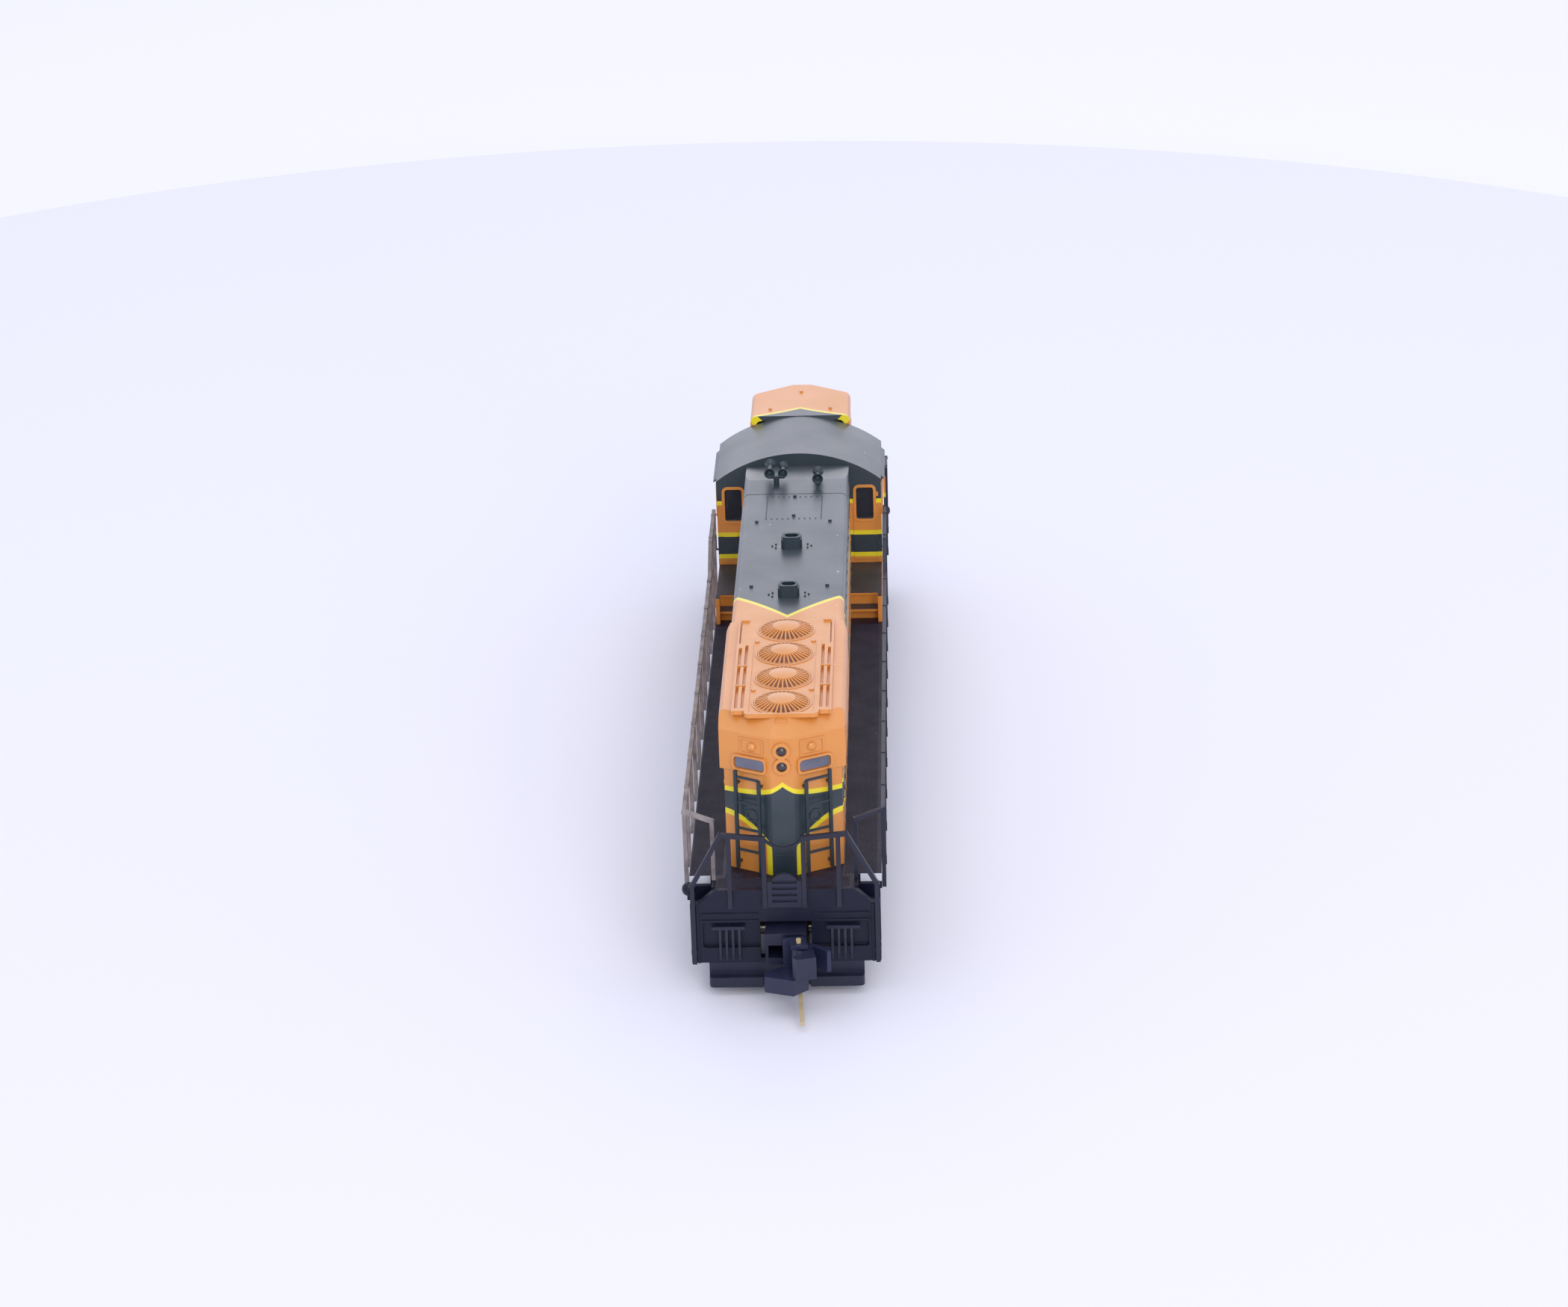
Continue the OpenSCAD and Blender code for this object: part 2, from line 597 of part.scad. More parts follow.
module horns() color(green) {
    top = roof_z;
    translate([-2.2, 17.2, 0]) {
        translate([0, 0, top]) cylinder(r = 0.32, h = 0.75, $fn = 32);
        block([-0.95, -0.25, top + 0.7], [0.95, 0.25, top + 0.95]);
        translate([-0.75, -0.5, top + 1.42]) double_horn(3.2, 0.62);
        translate([0.75, -0.5, top + 1.42]) double_horn(2.5, 0.56);
    }
    translate([2.55, 16, 0]) {
        translate([0, 1.2, top]) cylinder(r = 0.3, h = 0.75, $fn = 32);
        translate([0, 0, top + 0.95]) double_horn(2.5, 0.63);
    }
}

module headlight_lenses() color([0.1, 0.1, 0.12])
    for (z = [radiator_shoulder_z - 3.03, radiator_shoulder_z - 1.33]) translate([0, 0, z]) {
        rod_y(0.5, hood_end_y - 0.22, -48.75);
        rod_y(0.5, 48.75, nose_end_y + 0.22);
    }

module number_boards() color([0.35, 0.35, 0.4]) {
    board = round_rect(2.34, radiator_shoulder_z - 3.17, 3.26, 1.11, 0.28);
    on_end_panel(radiator_panel_angle) along_y(-0.12, 0.24) polygon(board);
    translate([0, nose_end_y + hood_end_y, 0]) rotate(180)
        on_end_panel(nose_panel_angle) along_y(-0.12, 0.24) polygon(board);
}

module hood_ladders() color(green)
    on_end_panel() {
        outer = 3.73;
        inner = 1.06;
        rail([[outer, -0.66, 12.2], [outer, -0.66, 22.7]], 0.32);
        rail([[inner, -0.66, 12.0], [inner, -0.66, 22.0]], 0.32);
        for (z = [14.15, 16.55, 19.45, 22.2])
            block([inner, -0.76, z - 0.11], [outer, -0.56, z + 0.11]);
        for (x = [inner, outer], z = [12.6, 21.4])
            block([x - 0.13, -0.56, z - 0.13], [x + 0.13, -0.001, z + 0.13]);
    }

// ---------- handrails ----------

rail_x = 10.02;
rail_z = 18.75;
cab_rail_z = 21.35;
sill_ys = [-44.6, -36.7, -28.8, -20.9, -13, -5.1, 2.8, 10.7];

module stanchion(y, top) {
    bar([rail_x, y, 10.3], [rail_x, y, top]);
    block([deck_hw + 0.01, y - 0.38, 10.0], [rail_x + 0.24, y + 0.38, 10.75]);
    block([rail_x - 0.2, y - 0.3, top - 0.1], [rail_x + 0.24, y + 0.3, top + 0.28]);
}

module side_handrail() {
    rail([[7.22, -51.1, deck_z + 0.22], [7.22, -51.1, 18.15], [rail_x, -50.1, rail_z], [rail_x, 12.4, rail_z],
        [rail_x, 16.4, cab_rail_z], [rail_x, 26.3, cab_rail_z]]);
    rail([[rail_x, 39.6, cab_rail_z], [rail_x, 43.2, cab_rail_z], [rail_x, 46.4, rail_z],
        [rail_x, 50.1, rail_z],
        [7.22, 51.1, 18.15], [7.22, 51.1, deck_z + 0.22]]);
    bar([rail_x, -50.1, 10.3], [rail_x, -50.1, rail_z]);
    bar([rail_x, 50.1, 10.3], [rail_x, 50.1, rail_z]);
    for (y = sill_ys) stanchion(y, rail_z);
    for (y = [17.8, 24.6, 40.2]) stanchion(y, cab_rail_z);
    stanchion(47.4, rail_z);
}

module handrail_right() color(black) side_handrail();

module handrail_left() color([0.25, 0.22, 0.22]) mirror([1, 0, 0]) side_handrail();

end_rail_w = 0.46;
chain_sag = 1.1;
function chain(x) = [x, -end_y - 0.24, 17.4 - chain_sag * (1 - x * x / 4)];

module end_handrail() {
    y = -end_y - 0.24;
    both_sides() {
        rail([[9.3, y, 3.7], [9.3, y, 12.25], [6.3, y, 17.85], [2, y, 17.4]], end_rail_w);
        rail([[5.5, y, 10.1], [5.5, y, 17.7]], end_rail_w);
        rail([[2, y, 10.1], [2, y, 17.4]], end_rail_w);
        for (x = [2, 5.5]) block([x - 0.24, y - 0.24, 9.7], [x + 0.24, -end_y - 0.001, 10.25]);
        block([9.02, y - 0.22, 4.6], [9.6, -end_y - 0.001, 5.1]);
    }
    for (i = [-4 : 3]) bar(chain(i / 2), chain((i + 1) / 2), 0.26);
}

module handrail_rear() color(black) end_handrail();

module handrail_front() color(black) rotate([0, 0, 180]) end_handrail();

module drop_steps() color(black) both_ends() {
    difference() {
        along_y(-end_y - 0.36, -end_y - 0.01)
            polygon(concat([[-1.75, 9.72], [1.75, 9.72], [1.75, 12.6]], arc(0, 12.0, 1.5, 24, 156, 6),
                [[-1.75, 12.6]]));
        for (z = [10.3, 11.0, 11.7, 12.4])
            block([-1.25, -end_y - 1, z], [1.25, -end_y - 0.12, z + 0.32]);
    }
}

module mu_hoses() color(black) both_ends() both_sides() {
    y = -end_y - 0.1;
    block([4.1, y - 0.15, 7.2], [7.5, y + 0.2, 7.55]);
    block([5.6, y, 7.25], [6.0, 0.45 - end_y - 0.001, 7.5]);
    for (x = [4.7 : 0.65 : 6.7])
        rail([[x, y, 7.3], [x, y - 0.18, 6.2], [x, y - 0.2, 4.6], [x, y - 0.05, 3.9]], 0.26);
}

// ---------- chassis and electrics ----------

screw_points = [[-44.4, 22], [-19, 23.2], [0, 24.1], [19, 23.2], [44.4, 22]];
chassis_z0 = 9.2;
chassis_z1 = 25.4;
motor_r = 5.0;

module chassis_half() {
    difference() {
        along_x(0.15, 5)
            polygon([[-46.6, chassis_z0], [-14.2, chassis_z0], [-14.2, 4.2], [14.2, 4.2], [14.2, chassis_z0],
                [46.6, chassis_z0], [46.6, chassis_z1], [-46.6, chassis_z1]]);
        // motor and flywheels
        block([-1, -8.3, shaft_z - 6.4], [4.3, 8.3, shaft_z + 5.2]);
        for (side = [-1, 1]) translate([0, 0, shaft_z]) {
            rod_y(4.35, side > 0 ? 8.2 : -15.4, side > 0 ? 15.4 : -8.2);
            rod_y(1.5, side > 0 ? 15 : -42.5, side > 0 ? 42.5 : -15);
        }
        for (side = [-1, 1]) translate([0, side * truck_y, 0]) {
            // slot for the gears, chamber for the worm and round seat for the truck's collar
            block([-1, -12.95, 0], [2.95, 12.95, idler_z + idler_r + 0.85]);
            block([-1, -4.9, 0], [2.95, 4.9, shaft_z + 2]);
            translate([0, 0, chassis_z0 - 1]) cylinder(r = 4.3, h = 2.85, $fn = 64);
            for (dy = [-7.0, 5.6]) translate([0, 0, shaft_z]) rod_y(1.72, dy, dy + 1.4);
        }
        for (p = screw_points) translate([0, p[0], p[1]]) {
            rod_x(0.9, 20);
            translate([5, 0, 0]) rod_x(1.15, 1.3);
        }
    }
}

module chassis_right() color(zinc) chassis_half();

module chassis_left() color(zinc) mirror([1, 0, 0]) chassis_half();

module frame_screws() color([0.5, 0.5, 0.52]) {
    for (p = screw_points) translate([0, p[0], p[1]]) {
        translate([-0.25, 0, 0]) rod_x(0.55, 9.3);
        difference() {
            translate([4.7, 0, 0]) rod_x(1.1, 0.6);
            block([4.75, -0.15, -2], [6, 0.15, 2]);
        }
        translate([-4.7, 0, 0]) difference() {
            rod_x(1.1, 0.6);
            rod_x(0.55, 2);
        }
    }
    // coupler box screws, driven from below
    both_ends() translate([0, -coupler_pivot_y, coupler_box_z0 - 0.33]) cylinder(r = 0.75, h = 0.33,
        $fn = 32);
}

module frame_insulators() color([0.85, 0.85, 0.8])
    for (p = screw_points) translate([0, p[0], p[1]]) difference() {
        union() {
            rod_x(0.88, 8.6);
            rod_x(1.2, 0.29);
        }
        rod_x(0.57, 12);
    }

module circuit_board() color([0.1, 0.35, 0.2]) {
    top = chassis_z1 + 0.6;
    difference() {
        block([-4.4, -46, chassis_z1 + 0.001], [4.4, 46, top]);
        for (y = [-37, 37]) translate([0, y, 0]) cylinder(r = 0.7, h = 60, $fn = 32);
    }
    for (y = [-33, -22, -8, 4]) block([-1.8, y, top], [1.8, y + 3.6, top + 0.8]);
    both_sides() for (y = [-28, -17, -13, -3, 10]) block([2.3, y, top], [3.5, y + 1.2, top + 0.6]);
}

module lamps() color([0.95, 0.93, 0.8]) both_ends() {
    block([-0.8, -48.6, 23.3], [0.8, -47.4, 26.1]);
    both_sides() {
        block([0.25, -48.2, 26.05], [0.55, -45.2, 26.25]);
        block([0.25, -45.8, 26.001], [0.55, -45.2, 26.25]);
    }
}

module motor_can() color([0.7, 0.7, 0.72]) translate([0, 0, shaft_z]) difference() {
    union() {
        intersection() {
            rod_y(motor_r, -6.6, 6.6, $fn = 64);
            block([-4.1, -7, -6], [4.1, 7, 6]);
        }
        rod_y(1.5, -7.3, 7.3);
        // brush caps
        both_sides() translate([2.9, 0, 0]) rod_y(0.7, -7.4, -6.5);
    }
    rod_y(3.6, -6.0, 6.0, $fn = 64);
    rod_y(0.5 + run_gap, -9, 9);
}

module motor_saddle() color([0.3, 0.3, 0.32]) difference() {
    block([-4.1, -6.4, shaft_z - 6.35], [4.1, 6.4, shaft_z - 3.2]);
    translate([0, 0, shaft_z]) rod_y(motor_r + 0.01, -9, 9, $fn = 64);
}

module motor_armature() color([0.55, 0.3, 0.15]) translate([0, 0, shaft_z]) difference() {
    union() {
        rod_y(3.25, -3.6, 3.6, $fn = 64);
        rod_y(1.3, -5.6, 5.6);
    }
    rod_y(0.5, -9, 9);
    for (a = [0 : 72 : 359]) rotate([0, a, 0]) block([-0.35, -5, 2.2], [0.35, 5, 4]);
}

module motor_shaft() color("silver") translate([0, 0, shaft_z]) rod_y(0.5, -14.4, 14.4);

module flywheels() color(brass) both_ends() translate([0, 0, shaft_z]) difference() {
    rod_y(4, 9, 14.6, $fn = 64);
    rod_y(0.5, 8, 14.4);
}

module drive_shafts() color([0.9, 0.9, 0.88]) both_ends() translate([0, 0, shaft_z]) {
    rod_y(1.15, 14.6, 16.2);
    rod_y(0.55, 16.1, 24.5);
    rod_y(1.15, 24.4, 25.6);
}

worm_r = 1.25;
worm_throw = 0.36;
worm_len = 4 * worm_lead;

// single-start worm: an eccentric round bar twisted along the shaft, a hollow of the thread
// facing straight down at mid length when phase is 0
module worm_thread(phase)
    rotate([-90, 0, 0]) rotate(phase) translate([0, 0, -worm_len / 2])
        linear_extrude(worm_len, twist = 360 * worm_len / worm_lead, slices = 56)
            translate([worm_throw, 0]) circle(r = worm_r, $fn = 18);

worm_phase = 90;

module worms() color([0.3, 0.3, 0.32]) for (side = [-1, 1])
    translate([0, side * truck_y, shaft_z]) {
        worm_thread(worm_phase);
        rod_y(axle_r, -7.75, 1 - worm_len / 2);
        rod_y(axle_r, worm_len / 2 - 1, 7.75);
    }

module worm_bearings() color(brass) for (side = [-1, 1], dy = [-6.9, 5.7])
    translate([0, side * truck_y, shaft_z]) difference() {
        rod_y(1.7, dy, dy + 1.2);
        rod_y(axle_r + run_gap, dy - 1, dy + 3);
    }

// ---------- gears ----------

backlash = 0.16;

// outline of a gear whose first tooth points along +X
module gear_outline(teeth, tip = 1, root = 1.15) {
    rp = teeth * tooth_module / 2;
    ra = rp + tip * tooth_module;
    rr = rp - root * tooth_module;
    half = 90 / teeth - backlash / 2 / rp * 180 / PI;
    top = half * 0.42;
    foot = half * 1.55;
    polygon([for (i = [0 : teeth - 1], p = [[rr, -foot], [rp, -half], [ra, -top], [ra, top], [rp, half],
        [rr, foot]])
        let (a = i * 360 / teeth + p[1]) [p[0] * cos(a), p[0] * sin(a)]]);
}

// a gear in the YZ plane, its phase counted from +Y towards +Z
module gear(teeth, phase, pin, pin_len, width = gear_w, tip = 1) {
    along_x(-width / 2, width / 2) rotate(phase) gear_outline(teeth, tip);
    if (pin > 0) rod_x(pin, pin_len);
}

module worm_gear() gear(worm_gear_teeth, worm_gear_phase, pin_r, 4.1, 1.3, 0.85);

module worm_gear_front() color("ivory") translate([0, truck_y, worm_gear_z]) worm_gear();

module worm_gear_rear() color("ivory") translate([0, -truck_y, worm_gear_z]) worm_gear();

module idler(side) {
    phase = side > 0 ? idler_phase : 180 - idler_phase;
    translate([0, side * idler_y, idler_z]) gear(idler_teeth, phase, pin_r, 4.1);
}

module idler_gear_front_a() color("ivory") translate([0, truck_y, 0]) idler(-1);

module idler_gear_front_b() color("ivory") translate([0, truck_y, 0]) idler(1);

module idler_gear_rear_a() color("ivory") translate([0, -truck_y, 0]) idler(-1);

module idler_gear_rear_b() color("ivory") translate([0, -truck_y, 0]) idler(1);

// ---------- wheels and trucks ----------

back_to_back = 7.6;
wheel_out_x = 5.9;

// one wheel on the right-hand side, turned about the X axis
module wheel() {
    hub = 1.1;
    in_x = back_to_back / 2;
    rotate([90, 0, 90]) rotate_extrude($fn = 96)
        polygon([[axle_r, in_x], [hub + 0.4, in_x - 0.2], [2.2, in_x + 0.1], [flange_r - 0.15, in_x],
            [flange_r, in_x + 0.15], [flange_r, in_x + 0.3], [tread_r + 0.12, in_x + 0.55],
                [tread_r, in_x + 0.75],
            [tread_r, wheel_out_x], [tread_r - 0.45, wheel_out_x], [tread_r - 0.7, wheel_out_x - 0.4],
            [hub + 0.2, wheel_out_x - 0.55], [hub, wheel_out_x - 0.05], [axle_r, wheel_out_x - 0.05]]);
}

// half axles in a plastic gear tube, with pointed ends that run in the contact strips
module wheelset(phase) translate([0, 0, axle_z]) {
    both_sides() {
        wheel();
        translate([3.3, 0, 0]) rod_x(axle_r, 5.1);
        translate([6.15, 0, 0]) rod_x(0.45, 1.2);
    }
    gear(axle_teeth, phase, 1.0, 2.0, gear_w, 1);
}

module place_wheelset(truck_side, i) {
    phase = i == 0 ? 90 : i > 0 ? outer_phase : 180 - outer_phase;
    color([0.72, 0.7, 0.66]) translate([0, truck_side * truck_y + i * axle_gap, 0]) wheelset(phase);
}

module wheelset_front_1() place_wheelset(1, 1);
module wheelset_front_2() place_wheelset(1, 0);
module wheelset_front_3() place_wheelset(1, -1);
module wheelset_rear_1() place_wheelset(-1, 1);
module wheelset_rear_2() place_wheelset(-1, 0);
module wheelset_rear_3() place_wheelset(-1, -1);

module gearcase() color(black) {
    difference() {
        union() {
            both_sides() along_x(1.1, 2.1)
                polygon([[-15.9, 1.05], [15.9, 1.05], [15.9, 5.6], [13.2, 6.9], [10.8, 8.5], [3.6, 8.5],
                    [3.6, 14.7],
                    [-3.6, 14.7], [-3.6, 8.5], [-10.8, 8.5], [-13.2, 6.9], [-15.9, 5.6]]);
            difference() {
                translate([0, 0, 8.4]) cylinder(r = 4.2, h = 2.4, $fn = 64);
                block([-1.1, -5, 8], [1.1, 5, 12]);
            }
            block([-2.1, -15.9, 0.75], [2.1, 15.9, 1.06]);
            for (side = [-1, 1]) translate([0, side * 15.7, 0]) block([-2.1, -0.2, 0.75], [2.1, 0.2, 5.6]);
        }
        for (i = [-1 : 1]) translate([0, i * axle_gap, axle_z]) rod_x(1.0 + run_gap, 6);
        for (i = [-1, 1]) translate([0, i * idler_y, idler_z]) rod_x(pin_r + run_gap, 6);
        translate([0, 0, worm_gear_z]) rod_x(pin_r + run_gap, 6);
    }
}

module truck_gearcase_front() translate([0, truck_y, 0]) gearcase();

module truck_gearcase_rear() translate([0, -truck_y, 0]) gearcase();

module sideframes() color(black) {
    both_sides() {
        difference() {
            union() {
                along_x(6.9, 7.9)
                    polygon([[-16.3, 5.2], [-15.6, 4.3], [-14.6, 4.3], [-14.6, 1.9], [-11.3, 1.9],
                        [-11.3, 4.1],
                        [-1.7, 4.1], [-1.7, 1.9], [1.7, 1.9], [1.7, 4.1], [11.3, 4.1], [11.3, 1.9],
                            [14.6, 1.9],
                        [14.6, 4.3], [15.6, 4.3], [16.3, 5.2], [16.3, 6.5], [13.9, 6.9], [9.4, 8.2],
                            [4.6, 7.2],
                        [-4.6, 7.2], [-9.4, 8.2], [-13.9, 6.9], [-16.3, 6.5]]);
                // journal boxes, springs and brake cylinders
                for (i = [-1 : 1]) translate([0, i * axle_gap, 0]) {
                    block([7.8, -1.15, 2.4], [8.4, 1.15, 5.0]);
                    translate([8.35, 0, axle_z]) rod_x(0.8, 0.5);
                    for (dy = [-2.1, 2.1]) translate([8.1, dy, 4.2]) cylinder(r = 0.55, h = 2.3, $fn = 32);
                }
                for (y = [-6.47, 6.47]) {
                    translate([8.2, y, 7.2]) rod_y(0.75, -1.4, 1.4);
                    block([7.8, y - 1.9, 4.5], [8.2, y + 1.9, 6.2]);
                }
            }
            for (i = [-1 : 1]) translate([6.9, i * axle_gap, axle_z]) rod_x(0.45 + run_gap, 0.9);
        }
    }
    for (y = [-idler_y, idler_y]) both_sides()
        block([2.101, y - 1, 6.9], [7, y + 1, 8.1]);
}

module truck_sideframes_front() translate([0, truck_y, 0]) sideframes();

module truck_sideframes_rear() translate([0, -truck_y, 0]) sideframes();

module contacts() color(brass) both_sides() {
    difference() {
        union() {
            block([6.35, -14.4, 2.9], [6.65, 14.4, 4.6]);
            block([6.35, -0.9, 4.5], [6.65, 0.9, 8.9]);
        }
        for (i = [-1 : 1]) translate([6.5, i * axle_gap, axle_z]) rod_x(0.45 + run_gap, 2);
    }
    for (y = [-10, 10]) block([6.65, y - 0.4, 4.2], [6.899, y + 0.4, 4.6]);
}

module truck_contacts_front() translate([0, truck_y, 0]) contacts();

module truck_contacts_rear() translate([0, -truck_y, 0]) contacts();

// ---------- couplers ----------

shank_z0 = 4.9;
shank_z1 = 6.05;
coupler_box_z0 = 4.05;
coupler_box_z1 = 7.5;
coupler_box_y = -55.4;
head_z1 = 7.4;
knuckle_x = 0.38;
knuckle_y = -5.75;

// outline from above, its rear corners cut off to clear the wheels
module coupler_box_plan(hw, y0, y1)
    polygon([[-hw, y0], [hw, y0], [hw, y1 - 0.9], [hw - 0.86, y1], [0.86 - hw, y1], [-hw, y1 - 0.9]]);

// box with a wide mouth low in its front, in which the shank swings on a post
module coupler_boxes() color(black) both_ends() {
    difference() {
        translate([0, 0, coupler_box_z0]) linear_extrude(coupler_box_z1 - coupler_box_z0)
            coupler_box_plan(2.06, coupler_box_y, -50.3);
        translate([0, 0, shank_z0 - 0.15]) linear_extrude(shank_z1 - shank_z0 + 0.3)
            coupler_box_plan(1.75, coupler_box_y - 1, -50.55);
    }
    translate([0, -coupler_pivot_y, coupler_box_z0 + 0.2]) cylinder(r = 0.4, h = 2.5, $fn = 32);
    block([-1.7, -52.4, coupler_box_z1 - 0.1], [1.7, -50.6, deck_z - 1.001]);
}

// places the outward-facing coupler parts, drawn about their pivot and looking along -Y
module at_coupler_rear() translate([0, -coupler_pivot_y, 0]) rotate(coupler_swing) children();

module at_coupler_front() rotate(180) at_coupler_rear() children();

module coupler_head() color(black) {
    difference() {
        union() {
            translate([0, 0, shank_z0]) cylinder(r = 0.85, h = shank_z1 - shank_z0, $fn = 48);
            block([-0.7, -4.8, shank_z0], [0.7, 0, shank_z1]);
            block([-1.1, -4.9, 2.6], [1.1, -4.45, head_z1]);
            // lower jaw, upper lip and guard wing
            translate([0, 0, 2.6]) linear_extrude(1.75)
                polygon([[-3.2, -5.7], [-3.3, -6.6], [-0.6, -8.1], [1.1, -7.0], [1.1, -4.8], [-1.2, -4.8]]);
            block([-0.5, -6.5, 6.95], [1.2, -4.8, head_z1]);
            translate([0, 0, 4.2]) linear_extrude(2.3)
                polygon([[1.0, -4.89], [1.0, -4.46], [1.95, -4.5], [3.5, -5.9], [3.5, -6.6], [3.1, -6.6],
                    [1.9, -5.1]]);
        }
        translate([0, 0, 3]) cylinder(r = 0.4 + run_gap, h = 4, $fn = 32);
        translate([knuckle_x, knuckle_y, 0]) cylinder(r = 0.25 + run_gap, h = 9, $fn = 32);
    }
}

// hooked knuckle and the long pin it turns on, which curves outwards above the rails
module coupler_knuckle() {
    color(black) difference() {
        translate([0, 0, 4.45]) linear_extrude(2.4) union() {
            translate([knuckle_x, knuckle_y]) circle(r = 0.75, $fn = 40);
            polygon([[knuckle_x, -5.1], [1.05, -5.45], [1.75, -6.5], [1.75, -8.3], [-0.2, -8.5], [-0.6, -7.8],
                [0.55, -7.3], [0.55, -6.7], [-0.2, -6.2]]);
        }
        translate([knuckle_x, knuckle_y, 0]) cylinder(r = 0.25, h = 9, $fn = 32);
    }
    color(brass) {
        translate([knuckle_x, knuckle_y, 2.3]) cylinder(r = 0.25, h = 5.5, $fn = 32);
        rail([[knuckle_x, knuckle_y, 2.35], [0.34, -6.3, 1.75], [0.2, -7.4, 1.3], [-0.18, -10.7, 0.95]],
            0.42);
    }
}

module coupler_head_rear() at_coupler_rear() coupler_head();

module coupler_head_front() at_coupler_front() coupler_head();

module coupler_knuckle_rear() at_coupler_rear() coupler_knuckle();

module coupler_knuckle_front() at_coupler_front() coupler_knuckle();

chassis_left();
chassis_right();
frame_screws();
frame_insulators();
circuit_board();
lamps();
motor_can();
motor_saddle();
worm_bearings();
long_hood();
cab();
cab_base();
short_hood();
walkway();
fuel_tank();
air_reservoirs();
cab_glazing();
number_boards();
headlight_lenses();
fan_deck();
radiator_fans();
exhaust_stacks();
horns();
handrail_left();
handrail_right();
handrail_rear();
handrail_front();
hood_ladders();
mu_hoses();
drop_steps();
coupler_boxes();
snow_plows();
motor_armature();
motor_shaft();
flywheels();
drive_shafts();
worms();
truck_gearcase_front();
truck_gearcase_rear();
truck_sideframes_front();
truck_sideframes_rear();
truck_contacts_front();
truck_contacts_rear();
worm_gear_front();
worm_gear_rear();
idler_gear_front_a();
idler_gear_front_b();
idler_gear_rear_a();
idler_gear_rear_b();
wheelset_front_1();
wheelset_front_2();
wheelset_front_3();
wheelset_rear_1();
wheelset_rear_2();
wheelset_rear_3();
coupler_head_front();
coupler_head_rear();
coupler_knuckle_front();
coupler_knuckle_rear();
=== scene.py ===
# N scale model of a six-axle diesel road switcher: its paint, plastics and metals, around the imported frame.
# Lengths in this file are millimetres where a name ends in _mm or a comment says so, and metres otherwise.
import math

import bpy
from mathutils import Matrix, Vector


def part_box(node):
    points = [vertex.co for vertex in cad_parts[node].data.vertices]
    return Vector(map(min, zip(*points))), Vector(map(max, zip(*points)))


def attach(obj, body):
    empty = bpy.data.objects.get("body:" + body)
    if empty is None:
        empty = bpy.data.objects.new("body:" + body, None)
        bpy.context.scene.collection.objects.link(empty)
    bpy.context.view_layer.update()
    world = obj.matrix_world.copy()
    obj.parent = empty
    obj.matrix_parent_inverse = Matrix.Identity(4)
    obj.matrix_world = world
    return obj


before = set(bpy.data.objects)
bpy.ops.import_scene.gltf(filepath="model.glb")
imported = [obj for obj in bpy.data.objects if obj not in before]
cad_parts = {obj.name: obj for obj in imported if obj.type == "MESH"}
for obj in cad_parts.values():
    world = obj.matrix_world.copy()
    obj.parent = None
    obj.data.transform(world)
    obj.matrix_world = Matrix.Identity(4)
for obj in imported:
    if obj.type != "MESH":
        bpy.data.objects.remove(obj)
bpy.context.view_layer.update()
bpy.ops.object.select_all(action="DESELECT")

# ---------- camera ----------
# A long lens about 40 cm behind the rear coupler and 20 cm up, turned a little aside and tilted down.
LENS_MM, SENSOR_MM = 95.41, 36
pitch, heading, roll = (math.radians(angle) for angle in (23.244, -2.152, -1.809))
turn = Matrix.Rotation(-heading, 3, "Z") @ Matrix.Rotation(math.pi / 2 - pitch, 3, "X")
turn = turn @ Matrix.Rotation(roll, 3, "Z")
bpy.ops.object.camera_add(location=(0.01477, -0.42804, 0.19836), rotation=turn.to_euler())
camera = bpy.context.object
camera.name = "camera"
camera.data.lens = LENS_MM
camera.data.sensor_width = SENSOR_MM
camera.data.clip_start = 0.01
bpy.context.scene.camera = camera

# ---------- floor and light ----------
# A round white turntable on a white table in a light tent: light comes from all round, most from above.
def linear(hex_colour):
    """A colour written as #RRGGBB in sRGB, as the linear RGBA that Blender works in."""
    parts = (int(hex_colour[i : i + 2], 16) / 255 for i in (1, 3, 5))
    return (*(c / 12.92 if c <= 0.04045 else ((c + 0.055) / 1.055) ** 2.4 for c in parts), 1.0)


def add(tree, kind, inputs=(), **settings):
    """Adds a node with its settings; an input takes a value, a socket, or a node's first live output."""
    node = tree.nodes.new("ShaderNode" + kind)
    for name, value in settings.items():
        setattr(node, name, value)
    for key, value in dict(inputs).items():
        socket = node.inputs[key]
        if isinstance(value, bpy.types.Node):
            value = next(out for out in value.outputs if out.enabled)
        if isinstance(value, bpy.types.NodeSocket):
            tree.links.new(value, socket)
        else:
            socket.default_value = value
    return node


def new_material(name):
    """A material with its node tree and its shader."""
    material = bpy.data.materials.new(name)
    material.use_nodes = True
    return material, material.node_tree, material.node_tree.nodes["Principled BSDF"]


DISC_X, DISC_Y, DISC_HIGH = -0.0134, 0.0223, 0.006
for name, radius, height, top, colour in (
    ("turntable", 0.231, DISC_HIGH, 0.0, "#ECEAEF"),
    ("table", 3.0, 0.002, -DISC_HIGH, "#F7F4F7"),
):
    bpy.ops.mesh.primitive_cylinder_add(
        vertices=256, radius=radius, depth=height, location=(DISC_X, DISC_Y, top - height / 2)
    )
    floor = bpy.context.object
    floor.name = name
    # matt painted board
    material, tree, shader = new_material(name + "_board")
    shader.inputs["Base Color"].default_value = linear(colour)
    shader.inputs["Roughness"].default_value = 0.9
    shader.inputs["Specular IOR Level"].default_value = 0.1
    floor.data.materials.append(material)

